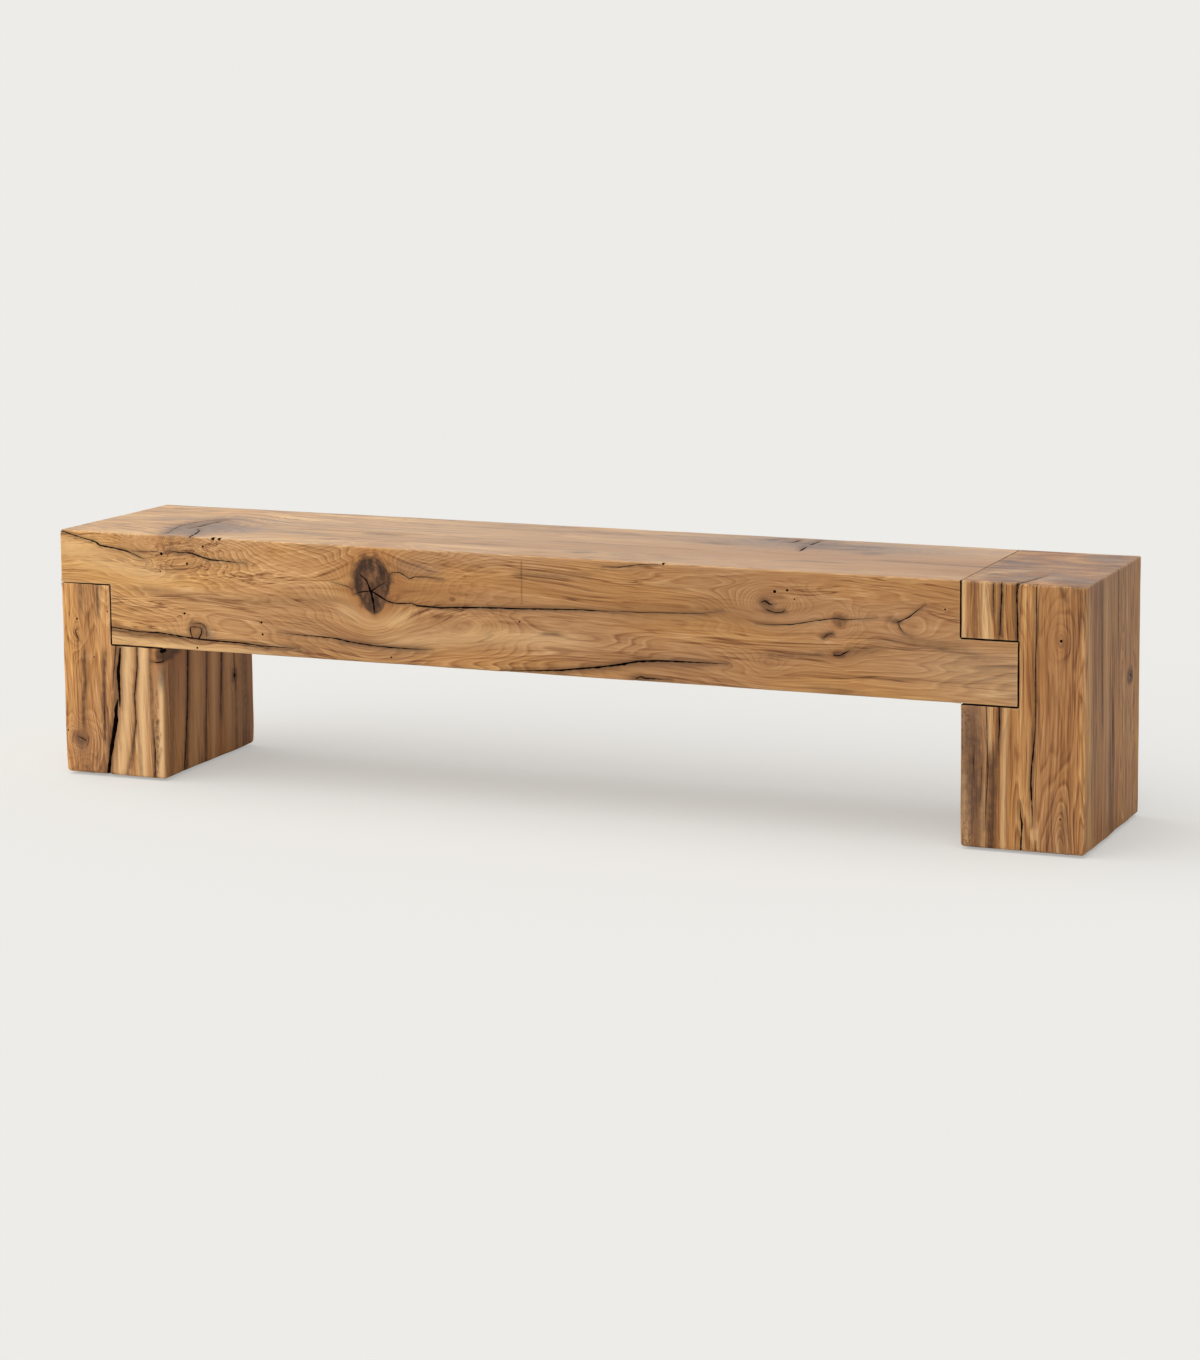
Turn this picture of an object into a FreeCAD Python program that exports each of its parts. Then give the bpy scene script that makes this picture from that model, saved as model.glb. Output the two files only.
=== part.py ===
"""Heavy timber bench: one seat beam lapped over a short left leg and tongued into a tall right leg.

Millimetres. +X runs along the seat towards the tall leg, +Y towards the back, +Z up.
The origin is on the floor, under the middle of the bench.
"""

import FreeCAD, Part
import math
import os

Vector = FreeCAD.Vector
UP = Vector(0, 0, 1)
RIGHT = Vector(1, 0, 0)

# Overall size
bench_length = 1938.0
bench_depth = 350.0
bench_height = 457.0
glide_height = 4.0

# Seat beam and its two laps
beam_thickness = 209.0
upper_lap = 98.0
left_end_skew = 30.0

# Legs
left_leg_width = 209.0
left_tongue_width = 103.0
right_leg_width = 216.0
right_tongue_length = 100.0

# Fit of the timbers
arris_radius = 4.0
joint_clearance = 0.5
fit_clearance = 0.1

# Bolts that draw each leg up to the beam, with washer and threaded insert
bolt_diameter = 10.0
bolt_length = 110.0
bolt_head_flats = 16.0
bolt_head_height = 6.4
bolt_head_chamfer = 1.2
bolt_tip_chamfer = 1.0
bolt_inset = 75.0
bolt_hole_clearance = 0.75
bolt_tip_room = 8.0
leg_land = 70.0
counterbore_diameter = 34.0
washer_diameter = 30.0
washer_thickness = 2.5
insert_diameter = 16.0
insert_length = 28.0
insert_chamfer = 1.0

# Dowels that line up the laps
dowel_diameter = 20.0
dowel_length = 100.0
dowel_chamfer = 2.0
dowel_inset = 75.0
dowel_from_tongue_face = 48.0
dowel_end_room = 1.0

# Glides under the legs, each held by one screw
glide_diameter = 32.0
glide_bevel = 1.0
glide_inset = 38.0
glide_web = 1.6
screw_head_diameter = 8.0
screw_head_height = 1.8
screw_shank_diameter = 4.0
screw_shank_length = 20.0
screw_point_length = 4.0
screw_slot_width = 1.0
screw_slot_depth = 0.7

# How far a cutting shape runs past the face it cuts
overrun = 2.0

# Levels and faces that the pieces share
x_left = -bench_length / 2
x_right = bench_length / 2
y_front = -bench_depth / 2
y_back = bench_depth / 2
z_foot = glide_height
z_top = bench_height
z_shoulder = bench_height - beam_thickness
z_lap = bench_height - upper_lap
x_left_tongue = x_left + left_tongue_width
x_left_inner = x_left + left_leg_width
x_right_inner = x_right - right_leg_width
x_right_tongue = x_right_inner + right_tongue_length
notch_radius = arris_radius - joint_clearance
z_counterbore = z_shoulder - leg_land
z_bolt_seat = z_counterbore - washer_thickness
z_bolt_tip = z_bolt_seat + bolt_length


def left_end_x(y):
    """X of the left end at depth y: the end is sawn out of square, shorter at the back."""
    return x_left + left_end_skew * (y - y_front) / bench_depth


def rounded_wire(corners):
    """Closed wire in the XZ plane through (x, z, radius) corners, each rounded by its radius."""
    edges = []
    starts = []
    ends = []
    for index, (x, z, radius) in enumerate(corners):
        here = Vector(x, y_front, z)
        before = Vector(corners[index - 1][0], y_front, corners[index - 1][1])
        after_corner = corners[(index + 1) % len(corners)]
        after = Vector(after_corner[0], y_front, after_corner[1])
        towards_before = (before - here).normalize()
        towards_after = (after - here).normalize()
        start = here + towards_before * radius
        end = here + towards_after * radius
        starts.append(start)
        ends.append(end)
        if radius > 0:
            bisector = (towards_before + towards_after).normalize()
            middle = here + bisector * radius * (math.sqrt(2) - 1)
            edges.append(Part.Arc(start, middle, end).toShape())
    for index, end in enumerate(ends):
        edges.append(Part.makeLine(end, starts[(index + 1) % len(starts)]))
    return Part.Wire(Part.__sortEdges__(edges))


def plan_block():
    """Upright block with the bench's outline in plan, skewed left end included."""
    plan = [
        Vector(x_left, y_front, z_foot),
        Vector(x_right, y_front, z_foot),
        Vector(x_right, y_back, z_foot),
        Vector(left_end_x(y_back), y_back, z_foot),
    ]
    face = Part.Face(Part.makePolygon(plan + plan[:1]))
    return face.extrude(UP * (z_top - z_foot))


def is_sharp(solid, edge):
    """True where the two faces beside an edge meet at an angle."""
    faces = solid.ancestorsOfType(edge, Part.Face)
    if len(faces) < 2:
        return False
    first, last = edge.ParameterRange
    point = edge.valueAt((first + last) / 2)
    normals = [face.normalAt(*face.Surface.parameter(point)) for face in faces]
    return normals[0].cross(normals[1]).Length > 1e-3


def timber(corners):
    """Baulk with the given side profile, cut to the plan outline, all its arrises eased."""
    side = Part.Face(rounded_wire(corners)).extrude(Vector(0, bench_depth, 0))
    baulk = side.common(plan_block()).Solids[0]
    return baulk.makeFillet(arris_radius, [edge for edge in baulk.Edges if is_sharp(baulk, edge)])


def hole(diameter, length, base, direction):
    """Cylinder to cut a round hole with."""
    return Part.makeCylinder(diameter / 2, length, base, direction)


def chamfered_rod(diameter, length, chamfer, base, direction):
    """Round rod with both ends chamfered."""
    rod = Part.makeCylinder(diameter / 2, length, base, direction)
    rims = [edge for edge in rod.Edges if len(edge.Vertexes) == 1]
    return rod.makeChamfer(chamfer, rims)


# Places of the bolts, dowels and glides

bolt_rows = {"front": y_front + bolt_inset, "back": y_back - bolt_inset}
dowel_rows = {"front": y_front + dowel_inset, "back": y_back - dowel_inset}
glide_rows = {"front": y_front + glide_inset, "back": y_back - glide_inset}
bolt_lines = {
    "left": (x_left_tongue + x_left_inner) / 2,
    "right": (x_right_inner + x_right_tongue) / 2,
}
x_left_dowel = x_left_tongue - dowel_from_tongue_face
z_right_dowel = z_top - upper_lap / 2


def glide_places():
    """Name and place of each glide: an outer and an inner one at the front and back of each leg."""
    places = {}
    for row, y in glide_rows.items():
        places["left_outer_" + row] = Vector(left_end_x(y) + glide_inset, y, 0)
        places["left_inner_" + row] = Vector(x_left_inner - glide_inset, y, 0)
        places["right_inner_" + row] = Vector(x_right_inner + glide_inset, y, 0)
        places["right_outer_" + row] = Vector(x_right - glide_inset, y, 0)
    return places


# Timbers


def seat_beam():
    x_notch = x_left_tongue + joint_clearance
    x_end = x_right_inner - joint_clearance
    beam = timber(
        [
            (x_left, z_lap, 0),
            (x_notch, z_lap, notch_radius),
            (x_notch, z_shoulder, 0),
            (x_right_tongue, z_shoulder, 0),
            (x_right_tongue, z_lap, 0),
            (x_end, z_lap, notch_radius),
            (x_end, z_top, 0),
            (x_left, z_top, 0),
        ]
    )
    cuts = []
    for x in bolt_lines.values():
        for y in bolt_rows.values():
            mouth = Vector(x, y, z_shoulder - overrun)
            tip_depth = z_bolt_tip + bolt_tip_room - z_shoulder
            cuts.append(hole(insert_diameter + 2 * fit_clearance, insert_length + overrun, mouth, UP))
            cuts.append(hole(bolt_diameter + 2 * bolt_hole_clearance, tip_depth + overrun, mouth, UP))
    socket = dowel_length / 2 + dowel_end_room
    for y in dowel_rows.values():
        left_mouth = Vector(x_left_dowel, y, z_lap - overrun)
        right_mouth = Vector(x_end + overrun, y, z_right_dowel)
        cuts.append(hole(dowel_diameter + 2 * fit_clearance, socket + overrun, left_mouth, UP))
        cuts.append(hole(dowel_diameter + 2 * fit_clearance, socket + overrun, right_mouth, -RIGHT))
    return beam.cut(cuts)


def leg_cuts(side):
    """Bolt holes, counterbores and glide screw holes of one leg."""
    cuts = []
    for y in bolt_rows.values():
        foot = Vector(bolt_lines[side], y, z_foot - overrun)
        cuts.append(hole(counterbore_diameter, z_counterbore - foot.z, foot, UP))
        cuts.append(hole(bolt_diameter + 2 * bolt_hole_clearance, z_shoulder + overrun - foot.z, foot, UP))
    for name, place in glide_places().items():
        if name.startswith(side):
            pilot = Vector(place.x, place.y, z_foot - overrun)
            depth = screw_shank_length - glide_web + overrun
            cuts.append(hole(screw_shank_diameter + 2 * fit_clearance, depth + fit_clearance, pilot, UP))
    return cuts


def left_leg():
    leg = timber(
        [
            (x_left, z_foot, 0),
            (x_left_inner, z_foot, 0),
            (x_left_inner, z_shoulder, 0),
            (x_left_tongue, z_shoulder, notch_radius),
            (x_left_tongue, z_lap, 0),
            (x_left, z_lap, 0),
        ]
    )
    cuts = leg_cuts("left")
    socket = dowel_length / 2 + dowel_end_room
    for y in dowel_rows.values():
        mouth = Vector(x_left_dowel, y, z_lap + overrun)
        cuts.append(hole(dowel_diameter + 2 * fit_clearance, socket + overrun, mouth, -UP))
    return leg.cut(cuts)


def right_leg():
    x_wall = x_right_tongue + joint_clearance
    z_ceiling = z_lap + joint_clearance
    leg = timber(
        [
            (x_right_inner, z_foot, 0),
            (x_right, z_foot, 0),
            (x_right, z_top, 0),
            (x_right_inner, z_top, 0),
            (x_right_inner, z_ceiling, 0),
            (x_wall, z_ceiling, notch_radius),
            (x_wall, z_shoulder, notch_radius),
            (x_right_inner, z_shoulder, 0),
        ]
    )
    cuts = leg_cuts("right")
    socket = dowel_length / 2 + dowel_end_room
    for y in dowel_rows.values():
        mouth = Vector(x_right_inner - overrun, y, z_right_dowel)
        cuts.append(hole(dowel_diameter + 2 * fit_clearance, socket + overrun, mouth, RIGHT))
    return leg.cut(cuts)


# Hidden hardware


def leg_bolt(x, y):
    """Hexagon bolt, head down in the counterbore, its tip up in the beam."""
    head_top = Vector(x, y, z_bolt_seat)
    corner = bolt_head_flats / math.sqrt(3)
    points = []
    for step in range(6):
        angle = math.radians(60 * step)
        points.append(head_top + Vector(corner * math.cos(angle), corner * math.sin(angle), 0))
    hexagon = Part.Face(Part.makePolygon(points + points[:1])).extrude(UP * -bolt_head_height)
    dome = Part.makeCylinder(corner, bolt_head_height, head_top, -UP)
    rim = [edge for edge in dome.Edges if edge.BoundBox.ZMax < z_bolt_seat - bolt_head_height / 2]
    head = hexagon.common(dome.makeChamfer(bolt_head_chamfer, rim))
    shank = Part.makeCylinder(bolt_diameter / 2, bolt_length, head_top, UP)
    tip = [edge for edge in shank.Edges if edge.BoundBox.ZMin > z_bolt_tip - bolt_length / 2]
    return head.fuse(shank.makeChamfer(bolt_tip_chamfer, tip)).removeSplitter()


def bolt_washer(x, y):
    seat = Vector(x, y, z_bolt_seat)
    ring = Part.makeCylinder(washer_diameter / 2, washer_thickness, seat, UP)
    return ring.cut(hole(bolt_diameter + 2 * fit_clearance, washer_thickness, seat, UP))


def threaded_insert(x, y):
    mouth = Vector(x, y, z_shoulder)
    sleeve = chamfered_rod(insert_diameter, insert_length, insert_chamfer, mouth, UP)
    return sleeve.cut(hole(bolt_diameter + 2 * fit_clearance, insert_length, mouth, UP))


def left_dowel(y):
    base = Vector(x_left_dowel, y, z_lap - dowel_length / 2)
    return chamfered_rod(dowel_diameter, dowel_length, dowel_chamfer, base, UP)


def right_dowel(y):
    x_joint = x_right_inner - joint_clearance / 2
    base = Vector(x_joint - dowel_length / 2, y, z_right_dowel)
    return chamfered_rod(dowel_diameter, dowel_length, dowel_chamfer, base, RIGHT)


# Glides


def glide(place):
    """Round foot with a bevelled lower rim and a recess that takes the screw head."""
    disc = Part.makeCylinder(glide_diameter / 2, glide_height, place, UP)
    rim = [edge for edge in disc.Edges if edge.BoundBox.ZMax < glide_height / 2]
    foot = disc.makeChamfer(glide_bevel, rim)
    recess = hole(screw_head_diameter + 2 * fit_clearance, glide_height - glide_web, place, UP)
    bore = hole(screw_shank_diameter + 2 * fit_clearance, glide_height, place, UP)
    return foot.cut([recess, bore])


def glide_screw(place):
    """Slotted screw, its head up against the glide's web and its point in the leg."""
    seat = Vector(place.x, place.y, glide_height - glide_web)
    head = Part.makeCylinder(screw_head_diameter / 2, screw_head_height, seat, -UP)
    slot = Part.makeBox(screw_head_diameter, screw_slot_width, screw_slot_depth)
    slot_corner = Vector(screw_head_diameter / 2, screw_slot_width / 2, screw_head_height)
    slot.translate(seat - slot_corner)
    straight = screw_shank_length - screw_point_length
    shank = Part.makeCylinder(screw_shank_diameter / 2, straight, seat, UP)
    point = Part.makeCone(screw_shank_diameter / 2, 0, screw_point_length, seat + UP * straight, UP)
    return head.cut(slot).fuse([shank, point]).removeSplitter()


def pieces():
    """Every piece of the bench under its node name."""
    made = {"seat_beam": seat_beam(), "left_leg": left_leg(), "right_leg": right_leg()}
    for side, x in bolt_lines.items():
        for row, y in bolt_rows.items():
            made[f"{side}_{row}_leg_bolt"] = leg_bolt(x, y)
            made[f"{side}_{row}_bolt_washer"] = bolt_washer(x, y)
            made[f"{side}_{row}_threaded_insert"] = threaded_insert(x, y)
    for row, y in dowel_rows.items():
        made[f"left_{row}_dowel"] = left_dowel(y)
        made[f"right_{row}_dowel"] = right_dowel(y)
    for name, place in glide_places().items():
        made[f"{name}_glide"] = glide(place)
        made[f"{name}_glide_screw"] = glide_screw(place)
    return made


os.makedirs("parts", exist_ok=True)
for node, shape in pieces().items():
    shape.exportStep(f"parts/{node}.step")
    print(node, len(shape.Solids), "solid", shape.isValid(), round(shape.Volume))
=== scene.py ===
"""Dressed model of a heavy timber bench, laid out as an add-on.

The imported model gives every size. Each timber is a fine skin with eased, uneven arrises, cut by its checks,
worm holes and bores, and finished in solid wood grain. Metres, +X along the seat, +Y to the back, +Z up.
"""

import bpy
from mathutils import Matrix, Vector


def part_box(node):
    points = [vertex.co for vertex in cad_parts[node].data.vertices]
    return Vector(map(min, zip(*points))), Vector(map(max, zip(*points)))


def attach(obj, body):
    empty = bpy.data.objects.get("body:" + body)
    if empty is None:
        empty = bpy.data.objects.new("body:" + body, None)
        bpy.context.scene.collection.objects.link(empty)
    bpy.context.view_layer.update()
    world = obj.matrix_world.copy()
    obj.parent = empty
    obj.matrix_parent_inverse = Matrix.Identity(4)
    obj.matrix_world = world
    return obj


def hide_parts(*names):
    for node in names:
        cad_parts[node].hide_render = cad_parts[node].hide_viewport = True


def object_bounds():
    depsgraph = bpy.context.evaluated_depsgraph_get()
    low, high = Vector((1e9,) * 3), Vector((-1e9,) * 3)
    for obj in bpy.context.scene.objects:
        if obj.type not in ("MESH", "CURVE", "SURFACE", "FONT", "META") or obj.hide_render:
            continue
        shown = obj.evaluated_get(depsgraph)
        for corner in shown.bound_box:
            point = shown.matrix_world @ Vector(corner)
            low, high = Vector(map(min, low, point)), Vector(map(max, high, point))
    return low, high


bl_info = {
    "name": "Timber bench",
    "version": (1, 0, 0),
    "blender": (4, 5, 0),
    "location": "3D View > Sidebar > Bench",
    "description": "Builds the timbers, the hardware finishes and the stage of a heavy timber bench",
    "category": "Object",
}

import math
from typing import NamedTuple

import bmesh
import bpy
import numpy as np
from bpy.props import FloatProperty, FloatVectorProperty, PointerProperty
from mathutils import Matrix, Vector, noise

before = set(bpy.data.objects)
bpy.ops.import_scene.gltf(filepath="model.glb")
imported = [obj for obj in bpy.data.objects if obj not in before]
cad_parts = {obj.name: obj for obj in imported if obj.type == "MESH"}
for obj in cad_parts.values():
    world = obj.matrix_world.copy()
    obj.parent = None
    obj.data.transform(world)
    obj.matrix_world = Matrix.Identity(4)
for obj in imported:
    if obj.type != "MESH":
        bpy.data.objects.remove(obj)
CAD_LOW, CAD_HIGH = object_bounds()

MM = 0.001
X, Y, Z = 0, 1, 2
BACK_MARGIN = 5 * MM

# Faces and levels of the bench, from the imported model. The left leg's bolts stand midway between its tongue
# and its inner face.
beam_low, beam_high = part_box("seat_beam")
left_low, left_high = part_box("left_leg")
right_low, right_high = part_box("right_leg")
bolt_low, bolt_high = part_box("left_front_leg_bolt")
X_LEFT = beam_low.x
X_LEFT_INNER = left_high.x
X_LEFT_TONGUE = bolt_low.x + bolt_high.x - X_LEFT_INNER
X_RIGHT_INNER = right_low.x
X_RIGHT_TONGUE = beam_high.x
X_RIGHT = right_high.x
Y_FRONT = beam_low.y
Y_BACK = beam_high.y
beam_points = [vertex.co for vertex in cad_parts["seat_beam"].data.vertices]
X_LEFT_BACK = min(point.x for point in beam_points if point.y > Y_BACK - BACK_MARGIN)
Z_FOOT = left_low.z
Z_SHOULDER = beam_low.z
Z_LAP = left_high.z
Z_TOP = beam_high.z


def linear(red, green, blue):
    """Scene colour of an sRGB colour given in steps of 255."""
    shares = (red / 255, green / 255, blue / 255)
    return tuple(s / 12.92 if s <= 0.04045 else ((s + 0.055) / 1.055) ** 2.4 for s in shares)


def colour(label, text, red, green, blue):
    """Colour property with its default given in sRGB."""
    return FloatVectorProperty(
        name=label, description=text, subtype="COLOR", size=3, min=0, max=1, default=linear(red, green, blue)
    )


def length(label, text, millimetres):
    """Length property with its default given in millimetres."""
    return FloatProperty(name=label, description=text, unit="LENGTH", default=millimetres * MM, precision=4)


def number(label, text, value):
    """Share, strength or other plain number as a property."""
    return FloatProperty(name=label, description=text, default=value)


def angle(label, text, degrees):
    """Angle property with its default given in degrees."""
    return FloatProperty(name=label, description=text, subtype="ANGLE", default=math.radians(degrees))


class BenchTimber(bpy.types.PropertyGroup):
    """Shape of the three timbers."""

    pitch: length("Skin pitch", "Spacing of the skin's lattice on the broad faces", 6.0)
    leg_pitch: length("Leg skin pitch", "Spacing of the skin's lattice on the legs", 3.8)
    arris: length("Arris radius", "Usual rounding of the outer arrises", 4.2)
    wear: number("Arris wear", "Share by which the arris radius varies", 0.45)
    wear_length: length("Wear length", "Length over which the arris wear changes", 60.0)
    foot_wear: number("Foot wear", "Extra arris at the feet, as a share", 0.5)
    hew: length("Hewing depth", "Depth of the shallow hollows left by hewing", 0.9)
    hew_length: length("Hewing length", "Length of one shallow hollow", 170.0)
    crease: angle("Crease", "Angle from which two faces meet in a sharp edge", 38)
    joint_gap: length("Joint gap", "Gap between lapped faces", 0.4)
    seam_width: length("Seam width", "Width of the open seam along a joint", 3.6)
    seam_depth: length("Seam depth", "Depth of the open seam along a joint", 14.0)
    seat_seam: number("Seat seam", "Seam on the seat as a share of the others", 0.5)
    end_seam: number("End seam", "Depth of the seam on the left end as a share of the others", 1 / 3)
    seam_arris: number("Seam arris", "Arris at a joint as a share of the usual", 0.35)
    check_open: number("Check opening", "Width of checks as a share of the listed", 1.3)
    check_step: length("Check step", "Length of one straight run of a check's ragged edge", 3.0)
    lip_reach: length("Lip reach", "How far the rolled lip of a check reaches beside it", 5.0)
    lip_share: number("Lip share", "Depth of that lip as a share of the check's width", 0.3)
    overrun: length("Overrun", "How far a cut runs past the face it opens on", 2.0)
    counterbore: length("Counterbore", "Diameter of the counterbores under the legs", 34.0)
    bolt_hole: length("Bolt hole", "Diameter of the bolt holes", 11.5)
    bolt_room: length("Bolt room", "Depth of hole left past each bolt tip", 8.0)
    fit: length("Fit clearance", "Clearance round dowels, inserts and screws", 0.1)
    screw_hole: length("Screw hole", "Diameter of the glide screw holes", 4.2)


class BenchFinish(bpy.types.PropertyGroup):
    """Colours and scale of the wood and the hardware."""

    straw: colour("Straw wood", "Palest strips", 236, 196, 142)
    pale: colour("Pale wood", "Light earlywood", 214, 165, 108)
    mid: colour("Middle wood", "Usual tone of the wood", 188, 138, 85)
    brown: colour("Brown wood", "Latewood lines and brown bands", 146, 97, 55)
    vein: colour("Vein", "Thin dark streaks along the grain", 74, 48, 31)
    knot: colour("Knot", "Heart of a knot", 37, 22, 15)
    knot_fibre: colour("Knot fibre", "Lighter fibres in a knot", 132, 90, 58)
    # Painted sheen and highlight: the seat's top and the arrises are lightened toward this tone, as bleaching
    # and wear and as the sheen of grazing light
    bleach_and_sheen: colour("Bleached wood", "Dry, sun-bleached face of the seat", 224, 191, 144)
    amber: colour("Amber", "Resinous wood round a knot", 170, 108, 56)
    grey: colour("Weathered grey", "Greyed patches", 118, 100, 90)
    # Dirt and painted shade: the inside of checks, seams and worm holes is dark for dirty wood and for the
    # shade deep in them
    check_dirt_and_shade: colour("Check wall", "Inside of checks and worm holes", 46, 31, 22)
    ring_pitch: length("Ring pitch", "Thickness of one growth ring", 2.8)
    relief: length("Grain relief", "Height of the brushed grain", 0.3)
    zinc: colour("Zinc", "Plated bolts, washers and screws", 190, 192, 190)
    brass: colour("Brass", "Threaded inserts", 200, 166, 102)
    beech: colour("Dowel beech", "Dowels", 205, 168, 128)
    nylon: colour("Glide nylon", "Glides", 44, 38, 34)


class BenchStage(bpy.types.PropertyGroup):
    """Camera, floor and light."""

    lens: number("Lens", "Focal length in mm on a 36 mm sensor", 100.27)
    shift: number("Rise", "Vertical lens shift, as a share of the sensor", -0.12)
    yaw: angle("Yaw", "Turn about Z", -22.65)
    pitch: angle("Pitch", "Tilt down", 8.413)
    roll: angle("Roll", "Lean of the picture", 0.525)
    eye: FloatVectorProperty(
        name="Eye", description="Place of the camera", subtype="TRANSLATION",
        default=(2.5896, -6.1287, 1.4861),
    )
    paper: colour("Paper", "Pale background and floor", 237, 236, 232)
    floor_reach: length("Floor reach", "Half the width of the floor", 300000)
    floor_share: number("Floor share", "Floor tone as a share of the paper", 0.855)
    floor_glow: number("Floor glow", "Share of the floor that shows no shadow", 0.45)
    sky: number("Sky", "Strength of the even light from all round", 0.46)
    sun: number("Sun", "Strength of the soft key light", 2.75)
    sun_softness: angle("Sun softness", "Width of the key light", 100)
    sun_from: FloatVectorProperty(
        name="Sun from", description="Direction the key light comes from", subtype="DIRECTION",
        default=(-0.42, -0.40, 0.80),
    )


# The photograph is taken as 1200 by 1360 pixels. Its long side is the sensor's 36 mm.
PHOTO_WIDTH = 1200
PHOTO_HEIGHT = 1360
SENSOR = 36.0


def camera_axes(stage):
    """Right, down and forward directions of the camera."""
    forward = Vector(
        (
            math.sin(stage.yaw) * math.cos(stage.pitch),
            math.cos(stage.yaw) * math.cos(stage.pitch),
            -math.sin(stage.pitch),
        )
    )
    level = Vector((math.cos(stage.yaw), -math.sin(stage.yaw), 0))
    down = forward.cross(level)
    turn = Matrix.Rotation(stage.roll, 3, forward)
    return turn @ level, turn @ down, forward


def photo_point(stage, spot, axis, level):
    """Point on the plane where one coordinate equals level, under a pixel of the photograph."""
    right, down, forward = camera_axes(stage)
    focus = stage.lens / SENSOR * PHOTO_HEIGHT
    aside = (spot[0] - PHOTO_WIDTH / 2) / focus
    below = (spot[1] - PHOTO_HEIGHT / 2 - stage.shift * PHOTO_HEIGHT) / focus
    ray = forward + right * aside + down * below
    eye = Vector(stage.eye)
    return eye + ray * ((level - eye[axis]) / ray[axis])


class Face(NamedTuple):
    """Plane that marks lie on: its axis and level, the way out of it, and whether the photograph shows it."""

    axis: int
    level: float
    out: int
    seen: bool

    def outward(self):
        """Unit vector out of the face."""
        way = Vector()
        way[self.axis] = self.out
        return way


FACES = {
    "front": Face(Y, Y_FRONT, -1, True),
    "top": Face(Z, Z_TOP, 1, True),
    "right": Face(X, X_RIGHT, 1, True),
    "inner": Face(X, X_LEFT_INNER, 1, True),
    "back": Face(Y, Y_BACK, 1, False),
    "left": Face(X, X_LEFT, -1, False),
    "under": Face(Z, Z_SHOULDER, -1, False),
}


# Joint lines in the side view, as X and Z
JOINT_LINES = {
    "left": [
        (X_LEFT, Z_LAP),
        (X_LEFT_TONGUE, Z_LAP),
        (X_LEFT_TONGUE, Z_SHOULDER),
        (X_LEFT_INNER, Z_SHOULDER),
    ],
    "right": [
        (X_RIGHT_INNER, Z_TOP),
        (X_RIGHT_INNER, Z_LAP),
        (X_RIGHT_TONGUE, Z_LAP),
        (X_RIGHT_TONGUE, Z_SHOULDER),
        (X_RIGHT_INNER, Z_SHOULDER),
    ],
}


# Marks of the timbers. A spot of two numbers is a pixel of the photograph on a face that it shows, and on
# another face a pair of shares of the bench's box. A spot of three numbers is a point.


def mark_point(face, spot):
    """Place of a spot on a face. Spots on the left end follow its skew."""
    if len(spot) == 3:
        return Vector(spot)
    if face.seen:
        return photo_point(bpy.context.scene.bench_stage, spot, face.axis, face.level)
    point = Vector()
    point[face.axis] = face.level
    for axis, share in zip([axis for axis in (X, Y, Z) if axis != face.axis], spot):
        point[axis] = CAD_LOW[axis] + share * (CAD_HIGH[axis] - CAD_LOW[axis])
    if face == FACES["left"]:
        place = np.array([point])
        skew_left_end(place)
        return Vector(place[0])
    return point


def mark_course(mark):
    """Places of the spots on a mark's course."""
    return [mark_point(FACES[mark.face], spot) for spot in mark.course]


class Check(NamedTuple):
    """Drying split: its face, width and depth in mm, its course, and its width at both ends as shares."""

    face: str
    width: float
    depth: float
    course: list
    ends: tuple = (0.12, 0.12)


class Stain(NamedTuple):
    """Soft mark: its face, kind, half width in mm, strength, course, and squeeze along the grain."""

    face: str
    kind: str
    width: float
    strength: float
    course: list
    squeeze: float = 0.3


class Knot(NamedTuple):
    """Knot: its face, spot, half sizes along and across the grain and ring lift in mm, dark heart and rim."""

    face: str
    spot: tuple
    along: float
    across: float
    lift: float
    dark: float
    rim: float = 0


class WormHole(NamedTuple):
    """Worm hole: its face, spot, diameter and depth in mm."""

    face: str
    spot: tuple
    bore: float
    depth: float


def on_faces(kind, groups):
    """Marks of one kind by their names, from groups that share their first values, such as the face."""
    return {name: kind(*first, *rest) for *first, marks in groups for name, rest in marks.items()}


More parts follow.
